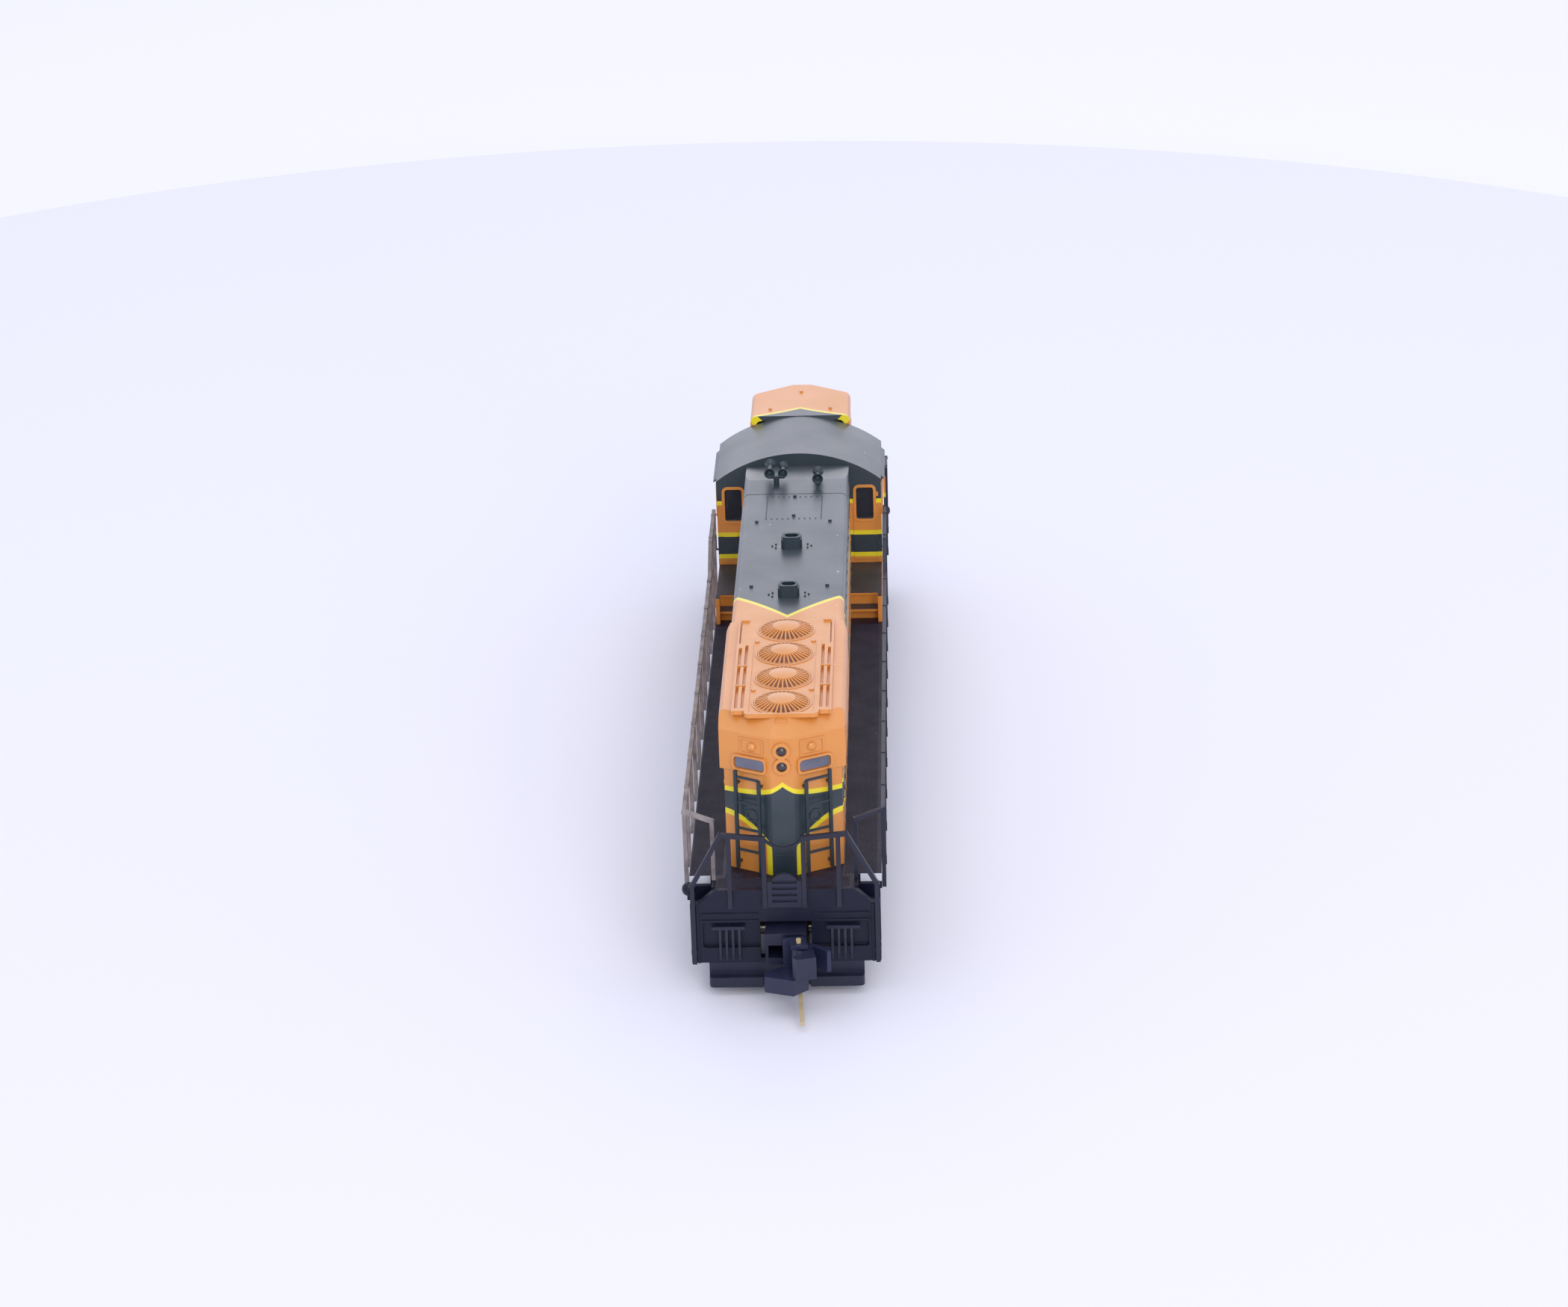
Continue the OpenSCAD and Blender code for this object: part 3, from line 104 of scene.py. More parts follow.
world = bpy.data.worlds.new("light_tent")
world.use_nodes = True
world.node_tree.nodes["Background"].inputs["Color"].default_value = linear("#DDE6FD")
world.node_tree.nodes["Background"].inputs["Strength"].default_value = 0.8
bpy.context.scene.world = world
for name, place, size, power in (
    ("top_softbox", (0.0, 0.05, 0.75), 0.9, 1.9),
    ("rear_softbox", (0.2, -0.95, 0.5), 0.8, 6.6),
    ("far_softbox", (0.0, 1.5, 0.7), 1.5, 6.9),
):
    bpy.ops.object.light_add(type="AREA", location=place)
    softbox = bpy.context.object
    softbox.name = name
    softbox.data.size = size
    softbox.data.energy = power
    softbox.data.color = linear("#F8F3F6")[:3]
    softbox.visible_camera = False
    softbox.rotation_euler = Vector(place).to_track_quat("Z", "Y").to_euler()
bpy.context.scene.view_settings.view_transform = "Standard"

# ---------- chassis halves ----------
# Two weights die-cast in zinc, left and right of the motor; the raw casting is dull grey with a fine grain
# and slightly bright where it has been handled.
MM = 0.001


def finish(name, colour, roughness, metallic=0.0, mottle=0.06, mottle_mm=3.0, grain_mm=0.3,
           grain_deep_mm=0.004, edge_mm=0.05, dust=0.0, dust_colour="#B4A9A0", paint=None,
           stretch=(1, 1, 1), coat_weight=0.0):
    """A surface with uneven colour, settled dust and specks, a fine grain and softened moulded edges."""
    material, tree, shader = new_material(name)
    coordinates = add(tree, "TexCoord")
    place = add(tree, "Mapping", {"Vector": coordinates.outputs["Object"], "Scale": stretch})
    base = linear(colour) if paint is None else paint(tree, coordinates.outputs["Object"])
    patches = add(tree, "TexNoise", {"Vector": place, "Scale": 1 / (mottle_mm * MM), "Detail": 4.0})
    shade = add(tree, "MapRange", {"Value": patches, "From Min": 0.3, "From Max": 0.7,
                                   "To Min": 1 - mottle, "To Max": 1 + mottle})
    coat = add(tree, "HueSaturation", {"Color": base, "Value": shade})
    gloss = add(tree, "MapRange", {"Value": patches, "From Min": 0.3, "From Max": 0.7,
                                   "To Min": roughness * 1.12, "To Max": roughness * 0.9})
    grain = add(tree, "TexNoise", {"Vector": place, "Scale": 1 / (grain_mm * MM), "Detail": 2.0})
    edges = add(tree, "Bevel", {"Radius": edge_mm * MM}, samples=4)
    relief = add(tree, "Bump", {"Height": grain, "Distance": grain_deep_mm * MM, "Normal": edges})
    if dust:
        # a film on everything that faces up, and lint specks up to a fifth of a millimetre across
        facing = add(tree, "SeparateXYZ", {0: coordinates.outputs["Normal"]})
        upward = add(tree, "MapRange", {"Value": facing.outputs["Z"], "From Min": 0.4, "From Max": 0.95})
        film = add(tree, "MapRange", {"Value": patches, "From Min": 0.35, "From Max": 0.75, "To Max": dust})
        cells = add(tree, "TexVoronoi", {"Vector": coordinates.outputs["Object"], "Scale": 1 / (1.3 * MM)})
        chance = add(tree, "SeparateColor", {0: cells.outputs["Color"]})
        width = add(tree, "MapRange", {"Value": chance, "From Min": 0.6, "From Max": 1.0, "To Max": 0.09})
        speck = add(tree, "Math", {0: cells.outputs["Distance"], 1: width}, operation="LESS_THAN")
        spread = add(tree, "Math", {0: film, 1: speck}, operation="MAXIMUM")
        cover = add(tree, "Math", {0: spread, 1: upward}, operation="MULTIPLY")
        coat = add(tree, "Mix", {0: cover, 6: coat, 7: linear(dust_colour)}, data_type="RGBA").outputs[2]
        dulled = add(tree, "Math", {0: cover, 1: 0.5}, operation="MULTIPLY")
        gloss = add(tree, "Math", {0: gloss, 1: dulled}, operation="ADD", use_clamp=True)
    for socket, source in (("Base Color", coat), ("Roughness", gloss), ("Normal", relief)):
        if isinstance(source, bpy.types.Node):
            source = source.outputs[0]
        tree.links.new(source, shader.inputs[socket])
    shader.inputs["Metallic"].default_value = metallic
    shader.inputs["Coat Weight"].default_value = coat_weight
    shader.inputs["Coat Roughness"].default_value = 0.3
    return material


def wear(material, *names):
    """Gives CAD nodes their material."""
    for name in names:
        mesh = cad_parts[name].data
        mesh.materials.clear()
        mesh.materials.append(material)


cast_zinc = finish("cast_zinc", "#8F9093", 0.48, 0.9, grain_mm=0.35, grain_deep_mm=0.02, edge_mm=0.12)
wear(cast_zinc, "chassis_left", "chassis_right")

# ---------- frame screws and insulators ----------
# Five slotted steel screws with nuts clamp the halves, each in a nylon bush that keeps left and right rail
# current apart; two more screws hold the coupler boxes. Plated steel, turned, a little oily.
plated_steel = finish("plated_steel_screws", "#A9A9AA", 0.28, 1.0, grain_mm=0.15, grain_deep_mm=0.002)
natural_nylon = finish("natural_nylon_bush", "#DAD5C6", 0.4)
wear(plated_steel, "frame_screws")
wear(natural_nylon, "frame_insulators")

# ---------- motor ----------
# A small five-pole motor: drawn steel can with bronze bushes, held in a rubbery cradle between the halves,
# around an armature wound with lacquered copper wire on a ground steel shaft.
drawn_steel = finish("drawn_steel_can", "#9FA0A4", 0.3, 1.0, stretch=(1, 0.1, 1), grain_mm=0.2)
rubber_cradle = finish("black_rubber_cradle", "#26262A", 0.75, grain_deep_mm=0.01)
ground_steel = finish("ground_steel_shaft", "#C0C1C4", 0.18, 1.0, stretch=(1, 4, 1), grain_mm=0.2)


def windings(tree, place):
    """Bands of lacquered copper wire, wound slantwise between the pole plates."""
    turns = add(tree, "TexWave", {"Vector": place, "Scale": 1 / (0.75 * MM), "Distortion": 0.6},
                wave_type="BANDS", bands_direction="DIAGONAL")
    return add(tree, "Mix", {0: turns, 6: linear("#6E2F12"), 7: linear("#C2703A")},
               data_type="RGBA").outputs[2]


copper_wire = finish("lacquered_copper_winding", "#B0622F", 0.3, 0.9, paint=windings)
wear(drawn_steel, "motor_can")
wear(rubber_cradle, "motor_saddle")
wear(ground_steel, "motor_shaft")
wear(copper_wire, "motor_armature")

# ---------- flywheels, bearings and drive shafts ----------
# Two turned brass flywheels store speed, brass bushes carry the worms, and white acetal universals reach
# out to a black glass-filled worm over each truck.
turned_brass = finish("turned_brass", "#C9A24E", 0.22, 1.0, grain_mm=0.4, grain_deep_mm=0.003,
                      stretch=(1, 6, 1))
white_acetal = finish("white_acetal", "#E8E6DE", 0.35)
black_acetal = finish("black_acetal_worm", "#2A2A2E", 0.38)
wear(turned_brass, "flywheels", "worm_bearings")
wear(white_acetal, "drive_shafts")
wear(black_acetal, "worms")

# ---------- truck gears ----------
# Worm gear and idlers are moulded in cream acetal, slippery and slightly see-through at the teeth.
cream_acetal = finish("cream_acetal_gear", "#DDD6C0", 0.36, grain_deep_mm=0.002)
for end in ("front", "rear"):
    wear(cream_acetal, f"worm_gear_{end}", f"idler_gear_{end}_a", f"idler_gear_{end}_b")

# ---------- wheelsets ----------
# Nickel-silver wheels turned on a lathe and pressed on a plastic gear tube; treads are bright, the dished
# faces are blackened. The tube with its gear is cream acetal.
WHEEL_FACE_X, GEAR_TUBE_X = 5.86 * MM, 1.05 * MM


def wheel_zones(tree, place):
    """Bright treads inside, dark dished faces outside, and a plastic tube with the gear in the middle."""
    at = add(tree, "SeparateXYZ", {0: place})
    across = add(tree, "Math", {0: at.outputs["X"]}, operation="ABSOLUTE")
    face = add(tree, "Math", {0: across, 1: WHEEL_FACE_X}, operation="GREATER_THAN")
    metal = add(tree, "Mix", {0: face, 6: linear("#B9B4A8"), 7: linear("#5C5752")},
                data_type="RGBA").outputs[2]
    inner = add(tree, "Math", {0: across, 1: GEAR_TUBE_X}, operation="LESS_THAN")
    return add(tree, "Mix", {0: inner, 6: metal, 7: linear("#DDD6C0")}, data_type="RGBA").outputs[2]


nickel_silver = finish("turned_nickel_silver", "#B9B4A8", 0.28, 0.85, grain_deep_mm=0.002,
                       paint=wheel_zones)
for end in ("front", "rear"):
    wear(nickel_silver, *(f"wheelset_{end}_{n}" for n in (1, 2, 3)))

# ---------- trucks ----------
# Gearcase and side frames are moulded in black acetal with a dusting of track dirt; bronze strips between
# them pick up current from the pointed axle ends.
truck_plastic = finish("black_truck_plastic", "#25252B", 0.5, mottle=0.15, dust=0.35, dust_colour="#6B5F56")
bronze_strip = finish("phosphor_bronze_strip", "#B98750", 0.3, 1.0, stretch=(1, 0.1, 1))
for end in ("front", "rear"):
    wear(truck_plastic, f"truck_gearcase_{end}", f"truck_sideframes_{end}")
    wear(bronze_strip, f"truck_contacts_{end}")

# ---------- circuit board and lamps ----------
# A green laminate board lies on the chassis with soldered chips; a warm white lamp stands at each end.
BOARD_THICK = 0.65 * MM


def laminate(tree, place):
    """Solder mask over copper tracks about 1.5 mm apart, with black chips on top."""
    tracks = add(tree, "TexBrick", {"Vector": place, "Scale": 1 / (6 * MM), "Mortar Size": 0.05,
                                    "Color1": linear("#14582F"), "Color2": linear("#0F4A28"),
                                    "Mortar": linear("#3C8A54")})
    height = add(tree, "SeparateXYZ", {0: place})
    board_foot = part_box("circuit_board")[0].z
    chip = add(tree, "Math", {0: height.outputs["Z"], 1: board_foot + BOARD_THICK},
               operation="GREATER_THAN")
    return add(tree, "Mix", {0: chip, 6: tracks.outputs["Color"], 7: linear("#1B1B1D")},
               data_type="RGBA").outputs[2]


wear(finish("green_circuit_laminate", "#14582F", 0.35, paint=laminate), "circuit_board")
wear(finish("warm_lamp_resin", "#F1E7C8", 0.2), "lamps")

# ---------- running boards and pilots ----------
# One moulding in black styrene carries the body: a little handling dust on top, and a white painted edge
# along the sills.
BOARD_END_MM, SILL_MM, LINE_FOOT_MM = 50.26, 9.76, 10.72


def sill_paint(tree, place):
    """Black plastic with the white line along the outer edge of the running boards."""
    size_mm = add(tree, "VectorMath", {0: place, "Scale": 1 / MM}, operation="SCALE")
    at = add(tree, "SeparateXYZ", {0: size_mm})
    across = add(tree, "Math", {0: at.outputs["X"]}, operation="ABSOLUTE")
    along = add(tree, "Math", {0: at.outputs["Y"]}, operation="ABSOLUTE")
    near = add(tree, "Math", {0: along, 1: BOARD_END_MM}, operation="LESS_THAN")
    side = add(tree, "Math", {0: across, 1: SILL_MM}, operation="GREATER_THAN")
    corner = add(tree, "Math", {0: along, 1: 50.21}, operation="GREATER_THAN")
    outer = add(tree, "Math", {0: across, 1: 7.6}, operation="GREATER_THAN")
    corner = add(tree, "Math", {0: corner, 1: outer}, operation="MULTIPLY")
    line = add(tree, "Math", {0: side, 1: corner}, operation="MAXIMUM")
    line = add(tree, "Math", {0: line, 1: near}, operation="MULTIPLY")
    high = add(tree, "Math", {0: at.outputs["Z"], 1: LINE_FOOT_MM}, operation="GREATER_THAN")
    line = add(tree, "Math", {0: line, 1: high}, operation="MULTIPLY")
    return add(tree, "Mix", {0: line, 6: linear("#0C0F26"), 7: linear("#DADCE2")},
               data_type="RGBA").outputs[2]


deck_plastic = finish("black_deck_styrene", "#1D1B22", 0.42, mottle=0.12, dust=0.12, dust_colour="#6A6068",
                      paint=sill_paint)
deck_plastic.node_tree.nodes["Principled BSDF"].inputs["Specular IOR Level"].default_value = 0.35
wear(deck_plastic, "walkway")

# ---------- tread ----------
# Fields of small pyramids stand on the boards and end platforms, in rows set half a step apart; the real
# ones are about 0.2 mm apart, and these are spaced wider so that they show.
TREAD_STEP = 0.36 * MM
DECK_TOP = 11.58 * MM
PYRAMID_FOOT, PYRAMID_TIP, PYRAMID_HIGH, PYRAMID_LIFT = 0.15 * MM, 0.04 * MM, 0.08 * MM, 0.02 * MM
tread_plastic = finish("black_tread_styrene", "#221F30", 0.4, mottle=0.15, dust=0.1, dust_colour="#7A7078",
                       edge_mm=0.02)
for name, x0, x1, y0, y1 in (
    ("tread_right_rear", 6.15, 9.55, -50.0, 15.1),
    ("tread_left_rear", -9.55, -6.15, -50.0, 15.1),
    ("tread_right_front", 6.15, 9.55, 45.8, 50.0),
    ("tread_left_front", -9.55, -6.15, 45.8, 50.0),
    ("tread_rear_platform", -6.7, 6.7, -52.9, -50.7),
    ("tread_rear_right_corner", 3.9, 6.0, -50.6, -49.2),
    ("tread_rear_left_corner", -6.0, -3.9, -50.6, -49.2),
    ("tread_front_platform", -6.7, 6.7, 50.9, 52.9),
    ("tread_front_right_corner", 3.9, 6.0, 49.2, 50.6),
    ("tread_front_left_corner", -6.0, -3.9, 49.2, 50.6),
):
    rows = []
    for shift in (0.0, 0.5):
        bpy.ops.object.select_all(action="DESELECT")
        aside = shift * TREAD_STEP
        corner = Vector((x0 * MM + aside, y0 * MM + aside, DECK_TOP + PYRAMID_LIFT))
        bpy.ops.mesh.primitive_cone_add(vertices=4, radius1=PYRAMID_FOOT, radius2=PYRAMID_TIP,
                                        depth=PYRAMID_HIGH, location=corner)
        pyramid = bpy.context.object
        bpy.ops.object.transform_apply(location=True, rotation=True, scale=True)
        for axis, length in enumerate(((x1 - x0) * MM, (y1 - y0) * MM)):
            array = pyramid.modifiers.new("repeat", "ARRAY")
            array.use_relative_offset = False
            array.use_constant_offset = True
            array.constant_offset_displace = [TREAD_STEP if axis == i else 0.0 for i in range(3)]
            array.count = int(length / TREAD_STEP)
            bpy.ops.object.modifier_apply(modifier=array.name)
        rows.append(pyramid)
    bpy.ops.object.select_all(action="DESELECT")
    for field in rows:
        field.select_set(True)
    bpy.context.view_layer.objects.active = rows[0]
    bpy.ops.object.join()
    tread = bpy.context.object
    tread.name = name
    tread.data.materials.append(tread_plastic)
    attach(tread, "frame")

# ---------- tank, reservoirs, plows, boxes, hoses and steps ----------
# Separate black mouldings pressed into the chassis and pilots, satin, with a little dust on their tops.
trim_plastic = finish("black_trim_styrene", "#15182F", 0.42, mottle=0.1, dust=0.08, dust_colour="#6A6A74")
wear(trim_plastic, "fuel_tank", "air_reservoirs", "snow_plows", "coupler_boxes", "mu_hoses", "drop_steps")

# ---------- hoods ----------
# Hollow styrene shells sprayed with satin enamel: orange, a dark green roof that ends in a point above the
# radiators, and a green band between yellow lines that dips to the deck at the ends.
ORANGE, GREEN, YELLOW = "#D68A38", "#25333A", "#EBD71A"
BAND_FOOT_MM, BAND_TOP_MM = 15.55, 18.3
REAR_POINT_MM, FRONT_POINT_MM = -22.18, 41.92
ROOF_MM, ROOF_LINE_MM, CORNER_MM = 28.2, 11.9, 47.7
SPRAY_EDGE_MM = 0.03


def two_tone(tree, field, half_line):
    """Green where the field, in mm, is above zero, orange below, and a yellow line where they meet."""
    green = add(tree, "Math", {0: field, 1: 0.0}, operation="GREATER_THAN")
    distance = add(tree, "Math", {0: field}, operation="ABSOLUTE")
    line = add(tree, "MapRange", {"Value": distance, "From Min": half_line - SPRAY_EDGE_MM,
                                  "From Max": half_line + SPRAY_EDGE_MM, "To Min": 1.0, "To Max": 0.0})
    coat = add(tree, "Mix", {0: green, 6: linear(ORANGE), 7: linear(GREEN)}, data_type="RGBA").outputs[2]
    return add(tree, "Mix", {0: line, 6: coat, 7: linear(YELLOW)}, data_type="RGBA").outputs[2]


def hood_livery(tree, place):
    """The green roof with its points, and the band that climbs at the corners and dips at the ends."""
    size_mm = add(tree, "VectorMath", {0: place, "Scale": 1 / MM}, operation="SCALE")
    at = add(tree, "SeparateXYZ", {0: size_mm})
    x, y, z = at.outputs["X"], at.outputs["Y"], at.outputs["Z"]
    across = add(tree, "Math", {0: x}, operation="ABSOLUTE")
    along = add(tree, "Math", {0: y}, operation="ABSOLUTE")
    # how far a point is from the middle of the roof, over the roof edge and down the side
    fall = add(tree, "Math", {0: ROOF_MM, 1: z}, operation="SUBTRACT")
    over = add(tree, "Math", {0: across, 1: fall}, operation="ADD")
    on_roof = add(tree, "Math", {0: over, 1: 5.6}, operation="MINIMUM")
    past_edge = add(tree, "Math", {0: over, 1: 7.5}, operation="MINIMUM")
    # rear point of the green roof: its arms bow a little as they run out to the roof edges
    bow = add(tree, "Math", {0: on_roof, 1: -0.0454, 2: 1.2}, operation="MULTIPLY_ADD")
    arm = add(tree, "Math", {0: on_roof, 1: bow, 2: REAR_POINT_MM}, operation="MULTIPLY_ADD")
    behind = add(tree, "Math", {0: y, 1: arm}, operation="SUBTRACT")
    behind = add(tree, "Math", {0: behind, 1: 0.74}, operation="MULTIPLY")
    above = add(tree, "Math", {0: ROOF_LINE_MM, 1: over}, operation="SUBTRACT")
    roof = add(tree, "Math", {0: behind, 1: above, 2: 2.0}, operation="SMOOTH_MIN")
    # front point of the green roof, on the short hood
    bow = add(tree, "Math", {0: past_edge, 1: 0.0236, 2: -0.6}, operation="MULTIPLY_ADD")
    arm = add(tree, "Math", {0: past_edge, 1: bow, 2: FRONT_POINT_MM}, operation="MULTIPLY_ADD")
    ahead = add(tree, "Math", {0: arm, 1: y}, operation="SUBTRACT")
    roof = add(tree, "Math", {0: roof, 1: ahead}, operation="MINIMUM")
    # band along the sides, which climbs towards the corners
    climb = add(tree, "MapRange", {"Value": along, "From Min": 38.0, "From Max": CORNER_MM, "To Max": 2.1},
                interpolation_type="SMOOTHSTEP")
    level = add(tree, "Math", {0: z, 1: climb}, operation="SUBTRACT")
    offset = add(tree, "Math", {0: level, 1: (BAND_TOP_MM + BAND_FOOT_MM) / 2}, operation="SUBTRACT")
    offset = add(tree, "Math", {0: offset}, operation="ABSOLUTE")
    side = add(tree, "Math", {0: (BAND_TOP_MM - BAND_FOOT_MM) / 2, 1: offset}, operation="SUBTRACT")
    # the same band on the ends: a peak in the middle, and below it a green stem down to the deck
    peak = add(tree, "Math", {0: 0.535, 1: across}, operation="POWER")
    top = add(tree, "Math", {0: peak, 1: 1.45, 2: 20.3}, operation="MULTIPLY_ADD")
    upper = add(tree, "Math", {0: top, 1: z}, operation="SUBTRACT")
    sweep = add(tree, "Math", {0: across, 1: -0.1184, 2: 1.513}, operation="MULTIPLY_ADD")
    foot = add(tree, "Math", {0: across, 1: sweep, 2: 13.04}, operation="MULTIPLY_ADD")
    lower = add(tree, "Math", {0: z, 1: foot}, operation="SUBTRACT")
    lower = add(tree, "Math", {0: lower, 1: 0.85}, operation="MULTIPLY")
    stem = add(tree, "Math", {0: 1.5, 1: across}, operation="SUBTRACT")
    lower = add(tree, "Math", {0: lower, 1: stem, 2: 0.8}, operation="SMOOTH_MAX")
    end = add(tree, "Math", {0: upper, 1: lower}, operation="MINIMUM")
    is_end = add(tree, "Math", {0: along, 1: CORNER_MM}, operation="GREATER_THAN")
    band = add(tree, "Mix", {0: is_end, 2: side, 3: end}, data_type="FLOAT").outputs[0]
    field = add(tree, "Math", {0: roof, 1: band}, operation="MAXIMUM")
    return two_tone(tree, field, 0.26)


hood_enamel = finish("hood_enamel", ORANGE, 0.4, mottle=0.035, mottle_mm=6.0, grain_mm=0.22,
                     grain_deep_mm=0.002, edge_mm=0.09, dust=0.05, dust_colour="#D8CFC6",
                     paint=hood_livery, coat_weight=0.6)
wear(hood_enamel, "long_hood", "short_hood")

# ---------- radiator hatch, fans and cab base ----------
# Clip-on mouldings in the hood's orange enamel; the platforms and step treads stay black and dusty.
orange_enamel = finish("orange_enamel", ORANGE, 0.4, mottle=0.04, grain_mm=0.22, grain_deep_mm=0.002,
                       dust=0.05, dust_colour="#D8CFC6", coat_weight=0.6)
wear(orange_enamel, "fan_deck", "radiator_fans")


def step_paint(tree, place):
    """Orange sides with black treads on everything that faces up."""
    normal = add(tree, "TexCoord").outputs["Normal"]
    facing = add(tree, "SeparateXYZ", {0: normal})
    tread = add(tree, "Math", {0: facing.outputs["Z"], 1: 0.7}, operation="GREATER_THAN")
    return add(tree, "Mix", {0: tread, 6: linear(ORANGE), 7: linear("#2C2A30")}, data_type="RGBA").outputs[2]


base_enamel = finish("cab_base_enamel", ORANGE, 0.42, dust=0.1, dust_colour="#6A6068", paint=step_paint)
wear(base_enamel, "cab_base")

# ---------- cab ----------
# A separate styrene shell with an arched roof, masked and sprayed like the hoods; its window frames are
# picked out in orange. Panes sit at one height on all four walls.
PANE_Y_MM, PANE_Z_MM, CAB_EAVES_MM = 32.96, 21.98, 22.25


def cab_livery(tree, place):
    """The hood's band and green roof, with orange frames round the panes."""
    size_mm = add(tree, "VectorMath", {0: place, "Scale": 1 / MM}, operation="SCALE")
    at = add(tree, "SeparateXYZ", {0: size_mm})
    x, y, z = at.outputs["X"], at.outputs["Y"], at.outputs["Z"]
    upper = add(tree, "Math", {0: z, 1: CAB_EAVES_MM}, operation="SUBTRACT")
    offset = add(tree, "Math", {0: z, 1: (BAND_TOP_MM + BAND_FOOT_MM) / 2}, operation="SUBTRACT")
    offset = add(tree, "Math", {0: offset}, operation="ABSOLUTE")
    band = add(tree, "Math", {0: (BAND_TOP_MM - BAND_FOOT_MM) / 2, 1: offset}, operation="SUBTRACT")
    coat = two_tone(tree, add(tree, "Math", {0: upper, 1: band}, operation="MAXIMUM"), 0.27)
    # frames stand proud of the walls; the reveals are the inner faces of the openings
    across = add(tree, "Math", {0: x}, operation="ABSOLUTE")
    from_middle = add(tree, "Math", {0: y, 1: PANE_Y_MM}, operation="SUBTRACT")
    along = add(tree, "Math", {0: from_middle}, operation="ABSOLUTE")
    high = add(tree, "Math", {0: z, 1: PANE_Z_MM}, operation="SUBTRACT")
    high = add(tree, "Math", {0: high}, operation="ABSOLUTE")
    beyond_end = add(tree, "Math", {0: along, 1: 6.41}, operation="GREATER_THAN")
    beyond_side = add(tree, "Math", {0: across, 1: 9.72}, operation="GREATER_THAN")
    proud = add(tree, "Math", {0: beyond_end, 1: beyond_side}, operation="MAXIMUM")
    near_pane = add(tree, "Math", {0: high, 1: 2.36}, operation="LESS_THAN")
    frames = add(tree, "Math", {0: proud, 1: near_pane}, operation="MULTIPLY")
    sideways = add(tree, "Math", {0: across, 1: 7.7}, operation="SUBTRACT")
    sideways = add(tree, "Math", {0: sideways}, operation="ABSOLUTE")
    in_end_pane = add(tree, "Math", {0: sideways, 1: 1.02}, operation="LESS_THAN")
    in_side_pane = add(tree, "Math", {0: across, 1: 9.0}, operation="GREATER_THAN")
    in_row = add(tree, "Math", {0: along, 1: 4.9}, operation="LESS_THAN")
    in_side_pane = add(tree, "Math", {0: in_side_pane, 1: in_row}, operation="MULTIPLY")
    in_pane = add(tree, "Math", {0: in_end_pane, 1: in_side_pane}, operation="MAXIMUM")
    in_height = add(tree, "Math", {0: high, 1: 2.0}, operation="LESS_THAN")
    reveals = add(tree, "Math", {0: in_pane, 1: in_height}, operation="MULTIPLY")
    orange = add(tree, "Math", {0: frames, 1: reveals}, operation="MAXIMUM")
    return add(tree, "Mix", {0: orange, 6: coat, 7: linear(ORANGE)}, data_type="RGBA").outputs[2]


cab_enamel = finish("cab_enamel", GREEN, 0.4, mottle=0.035, mottle_mm=6.0, grain_mm=0.22,
                    grain_deep_mm=0.002, edge_mm=0.07, dust=0.05, dust_colour="#D8CFC6",
                    paint=cab_livery, coat_weight=0.6)
wear(cab_enamel, "cab")

# ---------- green fittings ----------
# Stacks, horns and end ladders are small mouldings in the dark green of the roof.
green_enamel = finish("dark_green_enamel", GREEN, 0.4, mottle=0.05, edge_mm=0.04,
                      dust=0.1, dust_colour="#8F948F")
wear(green_enamel, "exhaust_stacks", "horns", "hood_ladders")

# ---------- glazing, number boards and headlights ----------
# Clear styrene inserts snapped into the cab from inside, tinted by the dark cab behind them; blank number
# boards in grey gloss, and dark amber headlight jewels.
glazing, tree, shader = new_material("clear_styrene_glazing")
shader.inputs["Base Color"].default_value = linear("#70727F")
shader.inputs["Transmission Weight"].default_value = 0.85
shader.inputs["IOR"].default_value = 1.55
coordinates = add(tree, "TexCoord")
streaks = add(tree, "TexNoise", {"Vector": coordinates.outputs["Object"], "Scale": 1 / (1.5 * MM)})
smear = add(tree, "MapRange", {"Value": streaks, "To Min": 0.02, "To Max": 0.12})
tree.links.new(smear.outputs[0], shader.inputs["Roughness"])
wear(glazing, "cab_glazing")
# the strong light and dark patches across each board, about a third of its tone either way, are a painted
# reflection
number_plate = finish("grey_number_plate_painted_reflection", "#565668", 0.12, mottle=0.35, mottle_mm=2.4,
                      grain_deep_mm=0.001, edge_mm=0.03, coat_weight=1.0)
wear(number_plate, "number_boards")
jewel = finish("dark_amber_lens", "#220C0B", 0.06, grain_deep_mm=0.0005, edge_mm=0.1, coat_weight=1.0)
wear(jewel, "headlight_lenses")
lens_low, lens_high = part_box("headlight_lenses")
LENS_R, LENS_BULGE, LENS_SEAT = 0.5 * MM, 0.62, 0.02 * MM
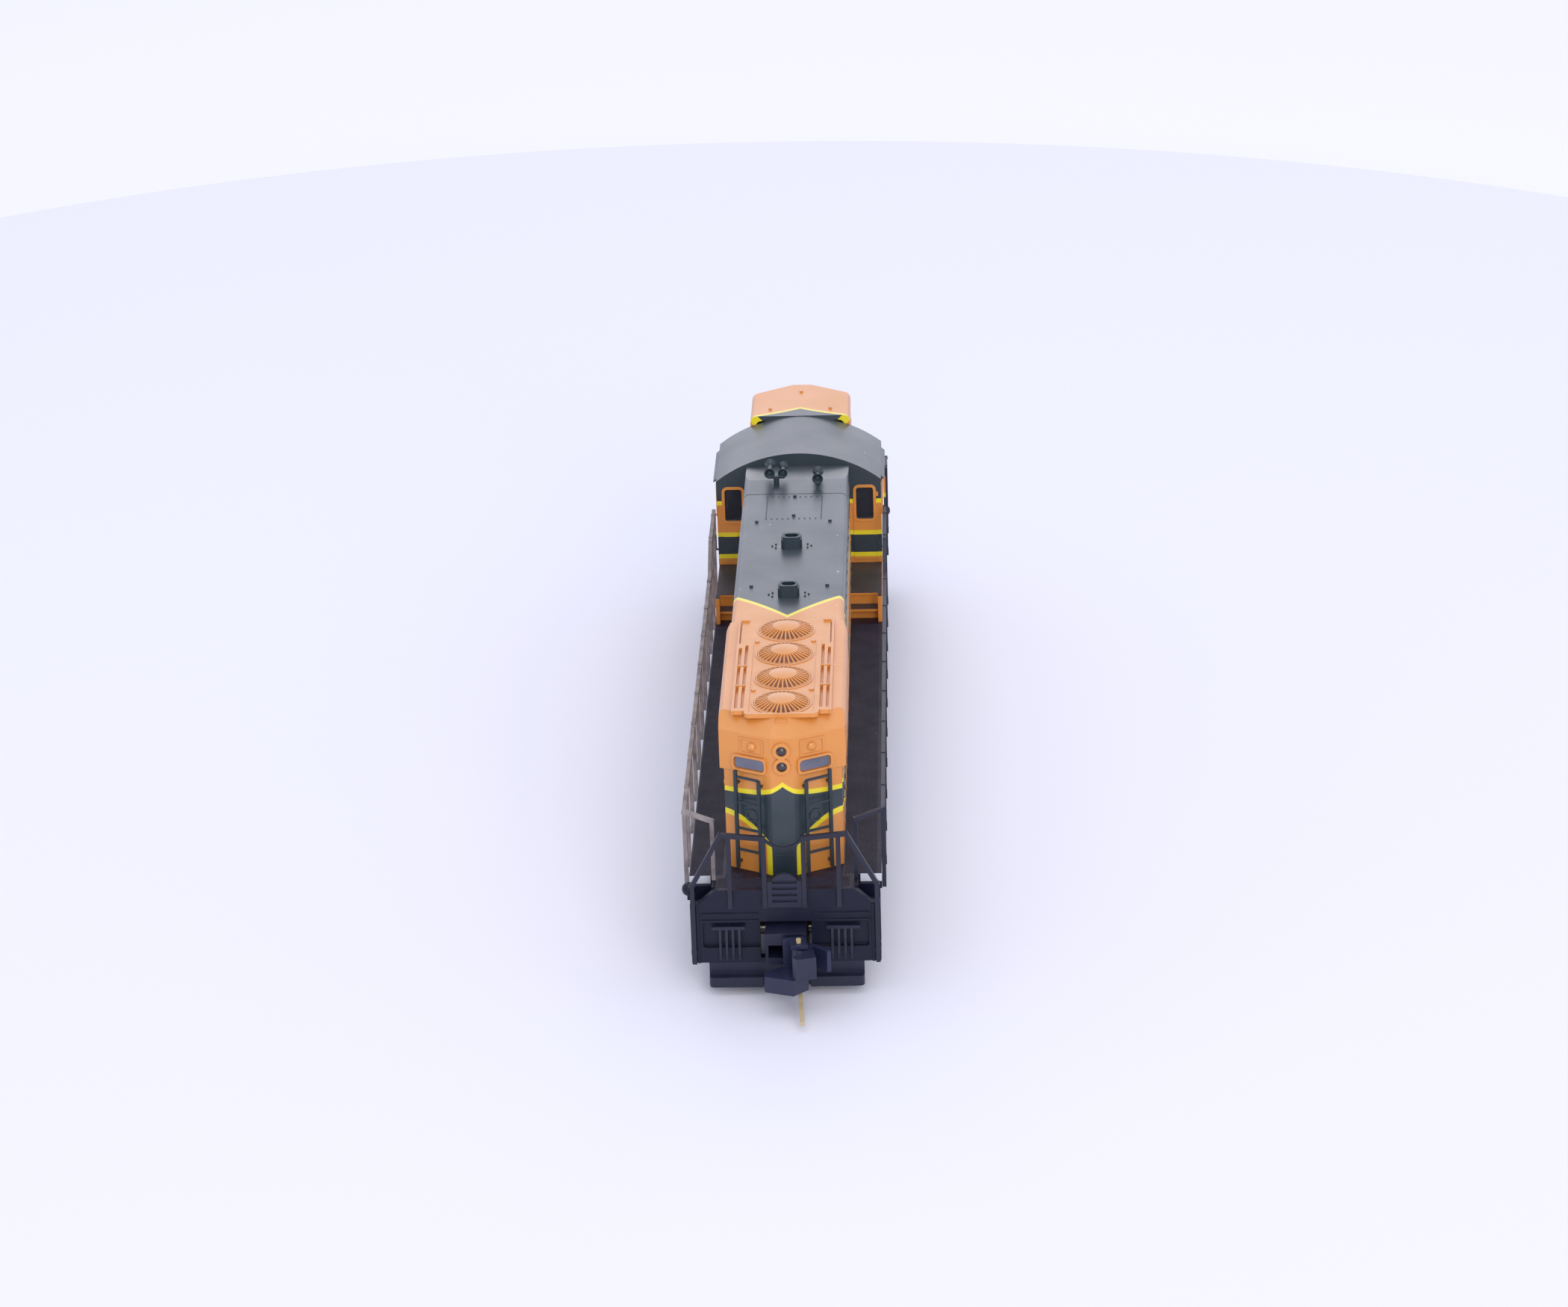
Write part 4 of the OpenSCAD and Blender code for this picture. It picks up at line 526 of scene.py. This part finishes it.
for end, out in (("rear", -1), ("front", 1)):
    face_y = lens_low.y if out < 0 else lens_high.y
    for name, z in (("upper", lens_high.z - LENS_R), ("lower", lens_low.z + LENS_R)):
        bpy.ops.object.select_all(action="DESELECT")
        bpy.ops.mesh.primitive_uv_sphere_add(segments=40, ring_count=20, radius=LENS_R,
                                             location=(0.0, face_y, z), scale=(1.0, LENS_BULGE, 1.0))
        dome = bpy.context.object
        dome.name = f"headlight_jewel_{end}_{name}"
        bpy.ops.object.transform_apply(location=True, rotation=True, scale=True)
        bpy.ops.object.mode_set(mode="EDIT")
        bpy.ops.mesh.select_all(action="SELECT")
        bpy.ops.mesh.bisect(plane_co=(0.0, face_y - out * LENS_SEAT, 0.0), plane_no=(0.0, -out, 0.0),
                            use_fill=True, clear_outer=True)
        bpy.ops.object.mode_set(mode="OBJECT")
        bpy.ops.object.shade_smooth_by_angle(angle=math.radians(40))
        dome.data.materials.append(jewel)
        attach(dome, "frame")

# ---------- handrails ----------
# Stamped and moulded rails in slippery black plastic; the left one has lost its colour and gone brown-grey,
# and is made lighter still, with a heavy pale cover on its upper faces, as painted highlight for the light
# that falls on it.
rail_plastic = finish("black_rail_acetal", "#15172B", 0.4, mottle=0.1, dust=0.12, dust_colour="#6E6E78")
# left rail: brown-grey made lighter, with pale upper faces, as painted highlight where the light falls on it
pale_rail_painted_highlight = finish("weathered_rail_acetal_painted_highlight", "#837A78", 0.55, mottle=0.4, mottle_mm=1.6, dust=0.5,
                   dust_colour="#9A938F")
wear(rail_plastic, "handrail_right", "handrail_rear", "handrail_front")
wear(pale_rail_painted_highlight, "handrail_left")

# ---------- couplers ----------
# Magnetic knuckle couplers in black acetal; a straw-coloured brass pin holds the knuckle and curves out low
# over the rails.
PIN_FOOT_Z, PIN_HEAD_Z = 4.44 * MM, 6.86 * MM


def knuckle_zones(tree, place):
    """Black plastic with the bare brass pin above and below it."""
    height = add(tree, "SeparateXYZ", {0: place})
    below = add(tree, "Math", {0: height.outputs["Z"], 1: PIN_FOOT_Z}, operation="LESS_THAN")
    above = add(tree, "Math", {0: height.outputs["Z"], 1: PIN_HEAD_Z}, operation="GREATER_THAN")
    pin = add(tree, "Math", {0: below, 1: above}, operation="MAXIMUM")
    return add(tree, "Mix", {0: pin, 6: linear("#1F223A"), 7: linear("#BBA880")},
               data_type="RGBA").outputs[2]


coupler_plastic = finish("black_coupler_acetal", "#22253F", 0.36, mottle=0.1, dust=0.1,
                         dust_colour="#6A6A74")
coupler_and_pin = finish("coupler_acetal_and_brass_pin", "#1D1E2A", 0.36, paint=knuckle_zones, mottle=0.15)
for end in ("front", "rear"):
    wear(coupler_plastic, f"coupler_head_{end}")
    wear(coupler_and_pin, f"coupler_knuckle_{end}")
